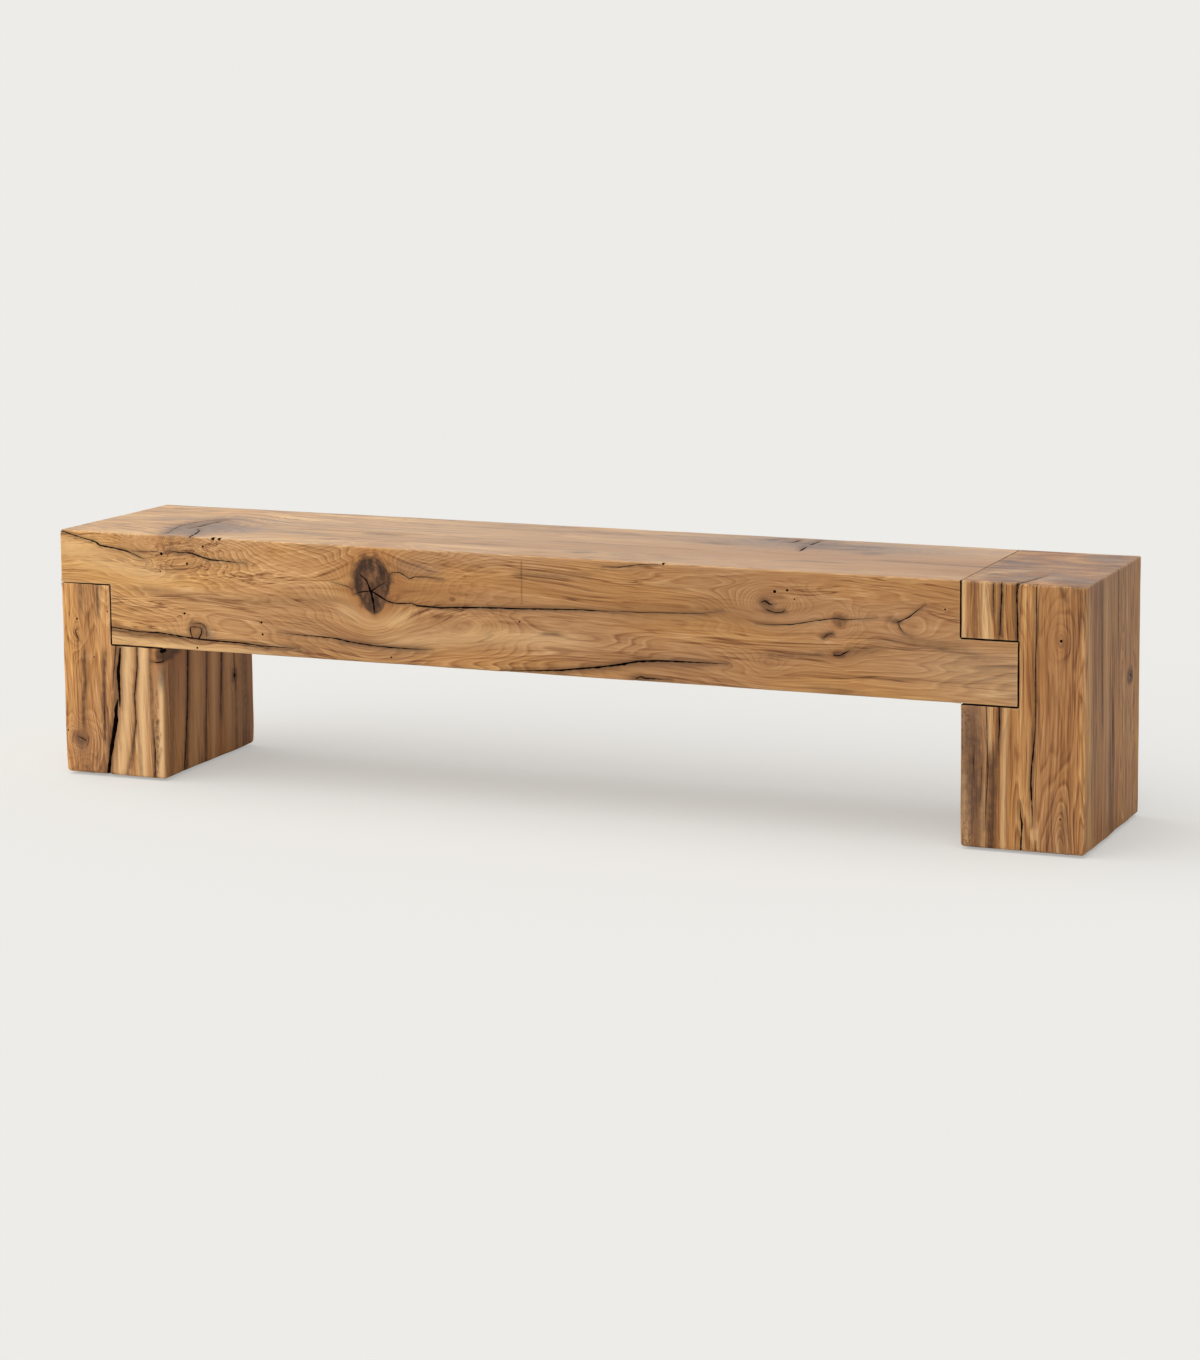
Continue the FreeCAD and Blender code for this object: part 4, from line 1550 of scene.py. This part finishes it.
def knot_fields(timber, axes, ragged):
    """What the knots add up to: ring lift, drift across the grain and into the depth, halo, heart and rim."""
    totals = {}
    for knot in timber.knots.values():
        face = FACES[knot.face]
        centre = mark_point(face, knot.spot)
        side_axis = timber.across() if face.axis == Y else Y
        reach = axes[face.axis].fall(face.level, face.level - face.out * KNOT_DEPTH)
        aside = axes[side_axis] - centre[side_axis]
        along = (axes[timber.grain] - centre[timber.grain]) / (knot.along * MM * KNOT_SIZES)
        across = aside / (knot.across * MM * KNOT_SIZES)
        spread = along * along + across * across
        near = reach / (spread + KNOT_CORE)
        wide = reach / (spread * WIDE_SPREAD + KNOT_CORE)
        gather(totals, "lift", wide * (knot.lift * MM * LIFT_SHARE))
        gather(totals, "deep" if side_axis == Y else "across", aside * wide * DRIFT_SHARE)
        heart = FIRM_EDGE if knot.dark > FIRM_DARK else SOFT_EDGE
        edge = near + ragged * heart.ragged
        if knot.dark > 0:
            gather(totals, "heart", edge.ramp(heart.start, heart.full) * knot.dark)
            gather(totals, "halo", near.ramp(*HALO_EDGE) * knot.dark)
        if knot.rim > 0:
            broken = ragged.ramp(*RIM_BREAKS) * knot.rim
            gather(totals, "rim", edge.ramp(*RIM_RISE) * edge.fall(*RIM_FALL) * broken)
    return totals


class Noise(NamedTuple):
    """Noise in the wood: axes, scales per metre, detail, roughness, offset of its seed, weight and ramp."""

    axes: str
    scales: tuple
    detail: float
    roughness: float
    offset: float
    weight: float = 1.0
    ramp: tuple = ()


# Noises on the trunk's straight axes, on the bent fibres, and on the box's axes at the sawn ends
NOISES = {
    "ragged": Noise("trunk", (70, 70, 70), 3, 0.6, 0),
    "wander": Noise("trunk", (1.5, 3, 3), 1, 0.5, 0, 0.05),
    "sway": Noise("trunk", (1.8, 3, 3), 1, 0.5, 31, 0.05),
    "crimp": Noise("trunk", (6, 12, 12), 1, 0.5, 57, 0.008),
    "shown": Noise("trunk", (3, 9, 9), 2, 0.5, 23),
    "pits": Noise("trunk", (120, 210, 210), 3, 0.6, 97, ramp=(0.47, 0.6)),
    "spokes": Noise("trunk", (80, 26, 26), 4, 0.6, 3),
    "wobble": Noise("fibres", (2.4, 20, 20), 2, 0.45, 5, 0.03),
    "broad": Noise("fibres", (1.2, 7, 7), 2, 0.6, 0, 0.45),
    "streak": Noise("fibres", (1.7, 36, 36), 3, 0.6, 1, 0.42),
    "fine": Noise("fibres", (4, 130, 130), 3, 0.6, 2, 0.32),
    "fibre": Noise("fibres", (12, 380, 380), 3, 0.6, 3, 0.55),
    "stroke": Noise("fibres", (3.2, 210, 210), 2, 0.5, 61),
    "hair": Noise("fibres", (2.4, 110, 110), 2, 0.5, 103),
    "tuft": Noise("fibres", (4.5, 34, 34), 2, 0.5, 109, ramp=(0.44, 0.6)),
    "cast": Noise("fibres", (2.6, 11, 11), 2, 0.5, 83, ramp=(0.3, 0.7)),
    "dry": Noise("fibres", (2, 24, 24), 3, 0.6, 91, ramp=(0.25, 0.75, 0.25, 0.6)),
    "vein": Noise("fibres", (2.2, 46, 46), 3, 0.6, 17),
    "dash": Noise("fibres", (10, 170, 170), 2, 0.5, 41, ramp=(0.66, 0.76)),
    "fleck": Noise("fibres", (40, 700, 700), 2, 0.5, 43, ramp=(0.62, 0.74)),
    "cloud": Noise("box", (14, 30, 30), 3, 0.55, 79, 0.6),
    "beam_end": Noise("box", (90, 6, 60), 4, 0.6, 71, 0.6),
    "leg_end": Noise("box", (5, 80, 80), 4, 0.6, 71, 0.6),
}
GRAINS = ("broad", "streak", "fine", "fibre")
SEED_WEIGHTS = (10, 3)
CRIMP_DEPTH = 0.75

# Sums of fields, with the weight of each
STREAKS = {"streak": 1.2, "fine": 0.8}
GLOSS = {"fibre": 0.2, "streak": 0.15, "polish_and_sheen": -0.26, "end_grain": 0.06}
RELIEF = {"fibre": 0.7, "latewood": -0.35, "fine": 0.6, "fleck": -0.3, "dash": -0.3}
STREAKS_BASE = -0.1
GLOSS_BASE = 0.42
SPECULAR = 0.22

# Rings: ranges as shares of one ring, where they show, and what they add to the brightness
LATEWOOD_RISE = (0.56, 0.88)
LATEWOOD_FALL = (0.9, 1.0)
LATEWOOD_SHOWN = (0.3, 0.65, 0.4, 1.0)
SPRING_RISE = (0.0, 0.1)
SPRING_FALL = (0.12, 0.34)
SPRING_SHOWN = (0.4, 0.6, 0.25, 1.0)
FAINTEST_RING = 0.3
RING_SPREAD = 0.08
LATEWOOD_SHADE = 0.3
SPRING_GLOW = 0.15

# Brightness of the wood, and how much calmer each part of it is on the sawn ends
USUAL_VALUE = 0.59
END_SHADE = 0.16
END_FIGURE = 2.4
SEAT_FIGURE = 1.8
END_CALM = {"figure": 0.85, "hairs": 1.0, "rings": 0.7, "bleach_and_sheen": 0.9}
PALE_STROKE = (0.26, 0.44, 0.09, 0.0)
DARK_STROKE = (0.54, 0.68)
STROKE_SHADE = 0.13
PALE_HAIR = 0.56
DARK_HAIR = 0.46
HAIR_WIDTH = 0.04
HAIR_GLOW = 0.2
HAIR_SHADE = 0.38

# Tints and marks over the wood: where the tints run (the seat beam's painted shade towards its right end),
# and how strongly they cover it
FALLOFF_RUN = 0.6
WARM_CAST = (1.05, 1.0, 0.86)
COOL_CAST = (0.97, 0.97, 1.1)
MOTTLE_EDGE = (-0.16, 0.16)
GREY_MOTTLE = (0.5, 0.6)
DARK_MOTTLE = (0.35, 0.75)
DARK_STREAKS = (1.2, 0.15)
VEIN_WIDTH = 0.03
VEIN_SHOWN = (0.5, 0.7)
SPOKE_RAGGED = 0.5
SPOKE_EDGE = (0.36, 0.74)
SPOKE_RINGS = (-0.8, 0.95)
COVER = {
    "seat_bleach_and_sheen": 0.34,
    "arris_wear_and_highlight": 0.38,
    "brown": 0.8,
    "dark": 0.85,
    "vein": 0.45,
    "dash": 0.4,
    "fleck": 0.25,
    "halo": 0.45,
    "heart": 0.95,
    "rim": 0.8,
    "grime": 0.5,
}


class Wood:
    """Solid wood of one timber in the making: rings about the pith, bent round the knots, and marks."""

    def __init__(self, timber, finish):
        self.timber = timber
        self.finish = finish
        self.material, self.tree, self.shader = new_material(timber.node + "_wood")
        self.seed = SEED_WEIGHTS[0] * abs(timber.pith[0]) + SEED_WEIGHTS[1] * timber.pith[1]
        axes = object_axes(self.tree)
        along, across, deep = axes[timber.grain], axes[timber.across()], axes[Y]
        self.axes = {"box": axes, "trunk": (along, across, deep)}
        self.ragged = self.swing("ragged")
        self.knots = knot_fields(timber, axes, self.ragged)
        crimp = self.swing("crimp")
        across = across + self.swing("wander") + crimp - self.knots["across"]
        deep = deep + self.swing("sway") + crimp * CRIMP_DEPTH - self.knots["deep"]
        self.axes["fibres"] = (along, across, deep)
        self.fields = {name: self.noise(name) for name in (*GRAINS, "shown", "dash", "fleck")}
        self.fields.update({name: self.painted(name) for name in ("polish_and_sheen", "end_grain")})
        self.streaky = (self.total(STREAKS) + STREAKS_BASE).capped()
        self.mottle = self.ragged.ramp(*MOTTLE_EDGE)

    def noise(self, name):
        """One of the listed noises on its ramp, from 0 to 1 where it has none."""
        made = NOISES[name]
        offset = self.seed + made.offset
        value = noise_value(self.tree, self.axes[made.axes], made.scales, made.detail, made.roughness, offset)
        return value.ramp(*made.ramp) if made.ramp else value

    def swing(self, name):
        """One of the listed noises about zero, times its weight."""
        return (self.noise(name) - 0.5) * NOISES[name].weight

    def painted(self, name):
        """A painted mark as a number."""
        return Term(self.tree, add(self.tree, "ShaderNodeAttribute", attribute_name=name).outputs["Fac"])

    def total(self, weights):
        """Sum of some fields, each times its weight."""
        sums = {}
        for name, weight in weights.items():
            gather(sums, "total", self.fields[name] * weight)
        return sums["total"]

    def calm(self, part):
        """1 on the long faces, and less on the sawn ends."""
        return self.fields["end_grain"].scaled(-END_CALM[part], 1.0)

    def lay(self, share, tone, mode="MIX"):
        """Lays a colour over the wood's colour by a share."""
        self.tone = blend(self.tree, share, self.tone, tone, mode)

    def rings(self):
        """Brightness that the growth rings add; their latewood becomes a field."""
        _, across, deep = self.axes["fibres"]
        off_pith = across - self.timber.pith[0]
        behind_pith = deep - self.timber.pith[1]
        girth = (off_pith * off_pith + behind_pith * behind_pith).math("SQRT")
        rings = (girth + self.knots["lift"] + self.swing("wobble")) / self.finish.ring_pitch
        within = rings.math("FRACT")
        each = add(self.tree, "ShaderNodeTexWhiteNoise", {"W": rings.math("FLOOR")}, noise_dimensions="1D")
        strength = Term(self.tree, each.outputs["Value"])
        shown = self.fields["shown"]
        latewood = within.ramp(*LATEWOOD_RISE) * within.fall(*LATEWOOD_FALL) * shown.ramp(*LATEWOOD_SHOWN)
        latewood = latewood * strength.scaled(1 - FAINTEST_RING, FAINTEST_RING)
        spring = within.ramp(*SPRING_RISE) * within.fall(*SPRING_FALL) * shown.ramp(*SPRING_SHOWN)
        self.fields["latewood"] = latewood
        ringed = strength * RING_SPREAD - latewood * LATEWOOD_SHADE + spring * SPRING_GLOW
        return ringed * self.calm("rings") * self.timber.ring_weight

    def figure(self):
        """Brightness that strokes, streaks, fibres and hairs add, and the saw's marks on the ends."""
        stroke = self.noise("stroke")
        figure = stroke.ramp(*PALE_STROKE) - stroke.ramp(*DARK_STROKE) * STROKE_SHADE
        for name in GRAINS:
            figure = figure + (self.fields[name] - 0.5) * NOISES[name].weight
        seat = self.fields["polish_and_sheen"].scaled(SEAT_FIGURE, 1.0)
        hair = self.noise("hair")
        hairs = hair.line(PALE_HAIR, HAIR_WIDTH) * HAIR_GLOW - hair.line(DARK_HAIR, HAIR_WIDTH) * HAIR_SHADE
        sawn_end = self.swing("beam_end" if self.timber.grain == X else "leg_end") + self.swing("cloud")
        figure = figure * self.timber.contrast * seat * self.calm("figure")
        figure = figure + hairs * self.noise("tuft") * self.calm("hairs")
        return figure + sawn_end * self.fields["end_grain"] * END_FIGURE

    def colour(self):
        """Gives the bare wood its colour, with its tints from end to end, which darken the seat beam towards
        its right end as painted shade, and warm and cool casts.
        """
        finish = self.finish
        value = self.figure() + self.rings() + USUAL_VALUE - self.fields["end_grain"] * END_SHADE
        stops = {0.0: finish.vein, 0.3: finish.brown, 0.55: finish.mid, 0.78: finish.pale, 1.0: finish.straw}
        self.tone = tone_ramp(self.tree, value, stops)
        grain = self.timber.grain
        start = CAD_LOW[grain]
        # Painted shade: on the seat beam the tints darken the wood towards its right end
        shade = self.axes["box"][grain].ramp(start, start + FALLOFF_RUN * (CAD_HIGH[grain] - start))
        self.lay(1.0, blend(self.tree, shade, *self.timber.tones_and_falloff), "MULTIPLY")
        self.lay(1.0, blend(self.tree, self.noise("cast"), WARM_CAST, COOL_CAST), "MULTIPLY")

    def bleach_and_highlight(self):
        """Lightens the seat's top for sun bleaching and painted sheen, and the arrises for wear and a painted
        highlight.
        """
        dry = self.noise("dry")
        seat = self.fields["polish_and_sheen"] * dry * self.calm("bleach_and_sheen")
        # Painted sheen: the seat's top is lightened, as sun bleaching and as the sheen of grazing light
        self.lay(seat * COVER["seat_bleach_and_sheen"], self.finish.bleach_and_sheen)
        # Painted highlight: the arrises are lightened, partly as wear
        self.lay(self.painted("arris") * dry * COVER["arris_wear_and_highlight"], self.finish.bleach_and_sheen)

    def stain(self):
        """Lays the painted stains, some of which are painted shade, and the veins, dashes and flecks of the
        grain.
        """
        # The brown stains hold painted shade on the left leg's inner face under the seat and on the seat's
        # top towards its right end
        self.lay(self.painted("brown") * self.streaky * COVER["brown"], self.finish.brown)
        self.lay(self.painted("pale") * self.streaky, self.finish.straw)
        self.lay(self.painted("grey") * self.streaky * self.mottle.scaled(*GREY_MOTTLE), self.finish.grey)
        # The dark stains named shadow or shade are painted shade beside checks and knots
        dark = self.painted("dark") * self.streaky.scaled(*DARK_STREAKS) * self.mottle.scaled(*DARK_MOTTLE)
        dark = dark.capped().math("MAXIMUM", self.painted("pitted") * self.noise("pits"))
        vein = self.noise("vein").line(0.5, VEIN_WIDTH) * self.fields["shown"].ramp(*VEIN_SHOWN)
        for name, mark in (("vein", vein), ("dash", self.fields["dash"]), ("fleck", self.fields["fleck"])):
            dark = dark.math("MAXIMUM", mark * COVER[name])
        self.lay(dark * COVER["dark"], self.finish.vein)

    def knot(self):
        """Lays the knots' halos, hearts and rims, and the darker band beside checks."""
        finish = self.finish
        spokes = (self.noise("spokes") + self.ragged * SPOKE_RAGGED).ramp(*SPOKE_EDGE)
        spokes = spokes * self.fields["latewood"].scaled(*SPOKE_RINGS)
        heart = blend(self.tree, spokes, finish.knot, finish.knot_fibre)
        self.lay(self.knots["halo"].capped() * self.streaky * COVER["halo"], finish.amber)
        self.lay(self.knots["heart"].capped() * COVER["heart"], heart)
        if "rim" in self.knots:
            self.lay(self.knots["rim"].capped() * COVER["rim"], finish.vein)
        # Darker band beside the checks
        self.lay(self.painted("grime") * COVER["grime"], finish.vein)

    def surface(self):
        """Feeds the shader its colour, gloss and relief."""
        feed(self.tree, self.shader.inputs["Base Color"], self.tone)
        feed(self.tree, self.shader.inputs["Roughness"], self.total(GLOSS) + GLOSS_BASE)
        self.shader.inputs["Specular IOR Level"].default_value = SPECULAR
        bump(self.tree, self.shader, self.total(RELIEF), self.finish.relief)


def timber_material(timber, finish):
    """Solid wood of one timber."""
    wood = Wood(timber, finish)
    wood.colour()
    wood.bleach_and_highlight()
    wood.stain()
    wood.knot()
    wood.surface()
    return wood.material


# Dust and worn patches of the plainer finishes
PATCH_DETAIL = 3.0
PATCH_ROUGHNESS = 0.6
DUST_SCALES = (60, 60, 60)
DUST_EDGE = (0.3, 0.7)
# The check walls' darker dust is painted shade deep in the checks as well as dirt
WALL_SHADE = 0.35
WALL_ROUGHNESS = 0.95
WALL_SPECULAR = 0.1


def check_dirt_and_shade_material(finish):
    """Dark, dusty inside of checks and worm holes: dirty inner wood, and painted shade for the shade deep in
    them.
    """
    material, tree, shader = new_material("check_dirt_and_shade")
    dust = noise_value(tree, object_axes(tree), DUST_SCALES, PATCH_DETAIL, PATCH_ROUGHNESS).ramp(*DUST_EDGE)
    tone = blend(tree, dust, times(finish.check_dirt_and_shade, WALL_SHADE), finish.check_dirt_and_shade)
    feed(tree, shader.inputs["Base Color"], tone)
    shader.inputs["Roughness"].default_value = WALL_ROUGHNESS
    shader.inputs["Specular IOR Level"].default_value = WALL_SPECULAR
    return material


TREES = {}
MATERIALS = {}
WIDE_BORE_SIDES = 40
NARROW_BORE_SIDES = 24
WORM_HOLE_SIDES = 12


def shared(kind, key, make):
    """Tree or material that is made once and used by several pieces."""
    if key not in kind:
        kind[key] = make()
    return kind[key]


def build_timber(context, node):
    """Makes one timber, cuts and paints it, and lets it stand for its node."""
    settings = context.scene.bench_timber
    finish = context.scene.bench_finish
    shared(TREES, "check", check_tree)
    shared(TREES, "bore", bore_tree)
    wall = shared(MATERIALS, "check_dirt_and_shade", lambda: check_dirt_and_shade_material(finish))
    timber = timber_list(settings.joint_gap)[node]
    pitch = settings.pitch if node == "seat_beam" else settings.leg_pitch
    mesh = timber_mesh(timber, settings, pitch)
    wood = timber_material(timber, finish)
    mesh.materials.append(wood)
    obj = link(bpy.data.objects.new(node + "_timber", mesh))
    wide, narrow = fastener_bores(timber, settings)
    worm = worm_bores(timber.holes, settings.overrun)
    cutters = [
        bore_cutter("wide_bores", wide, wood, WIDE_BORE_SIDES),
        bore_cutter("narrow_bores", narrow, wood, NARROW_BORE_SIDES),
        bore_cutter("worm_holes", worm, wall, WORM_HOLE_SIDES),
    ]
    splits = {**seam_checks(timber, settings), **timber.checks}
    for seed, (name, check) in enumerate(splits.items()):
        cutters.append(check_cutter(name, check, wall, settings, seed))
    obj = cut(obj, bundle(cutters, settings.overrun))
    drop_chips(obj.data)
    paint_marks(obj.data, timber)
    obj.data.polygons.foreach_set("use_smooth", [True] * len(obj.data.polygons))
    obj.data.set_sharp_from_angle(angle=settings.crease)
    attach(obj, "root")
    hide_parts(node)


# Hardware finishes


class Surface(NamedTuple):
    """Finish with worn patches and a fine grain. Scales are per metre, and the relief is in mm."""

    patch_scales: tuple
    patch_edge: tuple
    patch_cover: float
    worn_share: float
    grain_scales: tuple
    roughness: float
    grain_roughness: float
    relief: float
    metallic: float


SURFACES = {
    "zinc_plate": Surface((140, 140, 140), (0.35, 0.7), 1.0, 0.72, (840, 840, 84), 0.3, 0.2, 0.02, 1.0),
    "turned_brass": Surface((180, 180, 180), (0.35, 0.7), 1.0, 0.72, (1080, 1080, 108), 0.25, 0.2, 0.02, 1.0),
    "dowel_beech": Surface((40, 260, 40), (0.3, 0.7), 0.6, 0.68, (300, 300, 300), 0.5, 0.15, 0.05, 0.0),
    "glide_nylon": Surface((90, 260, 90), (0.55, 0.8), 0.5, 2.2, (900, 900, 900), 0.45, 0.15, 0.04, 0.0),
}


def hardware_material(name, tone):
    """One of the listed finishes in its colour."""
    surface = SURFACES[name]
    material, tree, shader = new_material(name)
    axes = object_axes(tree)
    patch = noise_value(tree, axes, surface.patch_scales, PATCH_DETAIL, PATCH_ROUGHNESS)
    grain = noise_value(tree, axes, surface.grain_scales)
    cover = patch.ramp(*surface.patch_edge) * surface.patch_cover
    worn = times(tone, surface.worn_share)
    feed(tree, shader.inputs["Base Color"], blend(tree, cover, tone, worn))
    feed(tree, shader.inputs["Roughness"], grain.scaled(surface.grain_roughness, surface.roughness))
    shader.inputs["Metallic"].default_value = surface.metallic
    bump(tree, shader, grain, surface.relief * MM)
    return material


def dress_nodes(ending, material):
    """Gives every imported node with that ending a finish."""
    for node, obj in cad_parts.items():
        if node.endswith(ending):
            obj.data.materials.clear()
            obj.data.materials.append(material)


# Operators


class BENCH_OT_seat_beam(bpy.types.Operator):
    """Build the seat beam"""

    bl_idname = "bench.seat_beam"
    bl_label = "Seat beam"

    def execute(self, context):
        build_timber(context, "seat_beam")
        return {"FINISHED"}


class BENCH_OT_left_leg(bpy.types.Operator):
    """Build the short left leg"""

    bl_idname = "bench.left_leg"
    bl_label = "Left leg"

    def execute(self, context):
        build_timber(context, "left_leg")
        return {"FINISHED"}


class BENCH_OT_right_leg(bpy.types.Operator):
    """Build the tall right leg"""

    bl_idname = "bench.right_leg"
    bl_label = "Right leg"

    def execute(self, context):
        build_timber(context, "right_leg")
        return {"FINISHED"}


class BENCH_OT_fasteners(bpy.types.Operator):
    """Finish the bolts, washers, inserts and screws"""

    bl_idname = "bench.fasteners"
    bl_label = "Fasteners"

    def execute(self, context):
        finish = context.scene.bench_finish
        zinc = hardware_material("zinc_plate", finish.zinc)
        for ending in ("leg_bolt", "bolt_washer", "glide_screw"):
            dress_nodes(ending, zinc)
        dress_nodes("threaded_insert", hardware_material("turned_brass", finish.brass))
        return {"FINISHED"}


class BENCH_OT_dowels(bpy.types.Operator):
    """Finish the dowels"""

    bl_idname = "bench.dowels"
    bl_label = "Dowels"

    def execute(self, context):
        dress_nodes("dowel", hardware_material("dowel_beech", context.scene.bench_finish.beech))
        return {"FINISHED"}


class BENCH_OT_glides(bpy.types.Operator):
    """Finish the glides"""

    bl_idname = "bench.glides"
    bl_label = "Glides"

    def execute(self, context):
        dress_nodes("glide", hardware_material("glide_nylon", context.scene.bench_finish.nylon))
        return {"FINISHED"}


def floor_material(stage):
    """Pale floor that keeps the shadow, and lets a camera below it see through."""
    material, tree, shader = new_material("floor_paper")
    shader.inputs["Base Color"].default_value = (*times(stage.paper, stage.floor_share), 1)
    shader.inputs["Roughness"].default_value = 1.0
    shader.inputs["Specular IOR Level"].default_value = 0.0
    behind = add(tree, "ShaderNodeNewGeometry").outputs["Backfacing"]
    clear = add(tree, "ShaderNodeBsdfTransparent")
    glow = add(tree, "ShaderNodeEmission", {"Color": (*stage.paper, 1), "Strength": 1.0})
    seen = Term(tree, add(tree, "ShaderNodeLightPath").outputs["Is Camera Ray"]) * stage.floor_glow
    paper = add(tree, "ShaderNodeMixShader", {0: seen, 1: shader.outputs[0], 2: glow.outputs[0]})
    mix = add(tree, "ShaderNodeMixShader", {0: behind, 1: paper.outputs[0], 2: clear.outputs[0]})
    feed(tree, tree.nodes["Material Output"].inputs["Surface"], mix.outputs[0])
    return material


def studio_world(stage):
    """Even light from all round; the camera and reflections see the paper colour."""
    world = bpy.data.worlds.new("studio")
    world.use_nodes = True
    tree = world.node_tree
    light = tree.nodes["Background"]
    light.inputs["Strength"].default_value = stage.sky
    light.inputs["Color"].default_value = (1, 1, 1, 1)
    paper = add(tree, "ShaderNodeBackground", {"Color": (*stage.paper, 1), "Strength": 1.0})
    path = add(tree, "ShaderNodeLightPath")
    shown = Term(tree, path.outputs["Is Camera Ray"]) + path.outputs["Is Glossy Ray"]
    shown = (shown + path.outputs["Is Transmission Ray"]).capped()
    mix = add(tree, "ShaderNodeMixShader", {0: shown, 1: light.outputs[0], 2: paper.outputs[0]})
    feed(tree, tree.nodes["World Output"].inputs["Surface"], mix.outputs[0])
    return world


def floor_mesh(reach):
    """Square floor, facing up."""
    mesh = bpy.data.meshes.new("floor")
    corners = [(-reach, -reach, 0), (reach, -reach, 0), (reach, reach, 0), (-reach, reach, 0)]
    mesh.from_pydata(corners, [], [(0, 1, 2, 3)])
    return mesh


def key_light(stage):
    """Soft sun."""
    sun = bpy.data.lights.new("key_light", "SUN")
    sun.energy = stage.sun
    sun.angle = stage.sun_softness
    lamp = link(bpy.data.objects.new("key_light", sun))
    lamp.rotation_euler = Vector(stage.sun_from).to_track_quat("Z", "Y").to_euler()


VIEW_REACHES = 4


def photo_camera(stage):
    """Camera at the photograph's place, which sees past the floor's far corner."""
    camera = bpy.data.cameras.new("photo_camera")
    camera.sensor_width = SENSOR
    camera.lens = stage.lens
    camera.shift_y = stage.shift
    camera.clip_end = VIEW_REACHES * stage.floor_reach
    right, down, forward = camera_axes(stage)
    eye = link(bpy.data.objects.new("photo_camera", camera))
    turn = Matrix((right, -down, -forward)).transposed().to_4x4()
    eye.matrix_world = Matrix.Translation(stage.eye) @ turn
    return eye


class BENCH_OT_stage(bpy.types.Operator):
    """Set the floor, the light and the camera"""

    bl_idname = "bench.stage"
    bl_label = "Stage"

    def execute(self, context):
        stage = context.scene.bench_stage
        mesh = floor_mesh(stage.floor_reach)
        mesh.materials.append(floor_material(stage))
        link(bpy.data.objects.new("floor", mesh))
        context.scene.world = studio_world(stage)
        key_light(stage)
        context.scene.camera = photo_camera(stage)
        context.scene.view_settings.view_transform = "Standard"
        return {"FINISHED"}


class BENCH_PT_panel(bpy.types.Panel):
    """Sidebar panel of the bench"""

    bl_idname = "BENCH_PT_panel"
    bl_label = "Timber bench"
    bl_space_type = "VIEW_3D"
    bl_region_type = "UI"
    bl_category = "Bench"

    def draw(self, context):
        for operator in OPERATORS:
            self.layout.operator(operator.bl_idname)
        for group in (context.scene.bench_timber, context.scene.bench_finish, context.scene.bench_stage):
            column = self.layout.column()
            for name in group.__annotations__:
                column.prop(group, name)


GROUPS = {"bench_timber": BenchTimber, "bench_finish": BenchFinish, "bench_stage": BenchStage}
OPERATORS = (
    BENCH_OT_seat_beam,
    BENCH_OT_left_leg,
    BENCH_OT_right_leg,
    BENCH_OT_fasteners,
    BENCH_OT_dowels,
    BENCH_OT_glides,
    BENCH_OT_stage,
)


def register():
    """Registers the classes, and gives every scene the property groups."""
    for member in (*GROUPS.values(), *OPERATORS, BENCH_PT_panel):
        bpy.utils.register_class(member)
    for name, group in GROUPS.items():
        setattr(bpy.types.Scene, name, PointerProperty(type=group))


def unregister():
    """Undoes what register does."""
    for name in GROUPS:
        delattr(bpy.types.Scene, name)
    for member in (BENCH_PT_panel, *reversed(OPERATORS), *reversed(GROUPS.values())):
        bpy.utils.unregister_class(member)


def main():
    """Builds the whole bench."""
    register()
    bpy.ops.bench.seat_beam()
    bpy.ops.bench.left_leg()
    bpy.ops.bench.right_leg()
    bpy.ops.bench.fasteners()
    bpy.ops.bench.dowels()
    bpy.ops.bench.glides()
    bpy.ops.bench.stage()


if __name__ == "__main__":
    main()
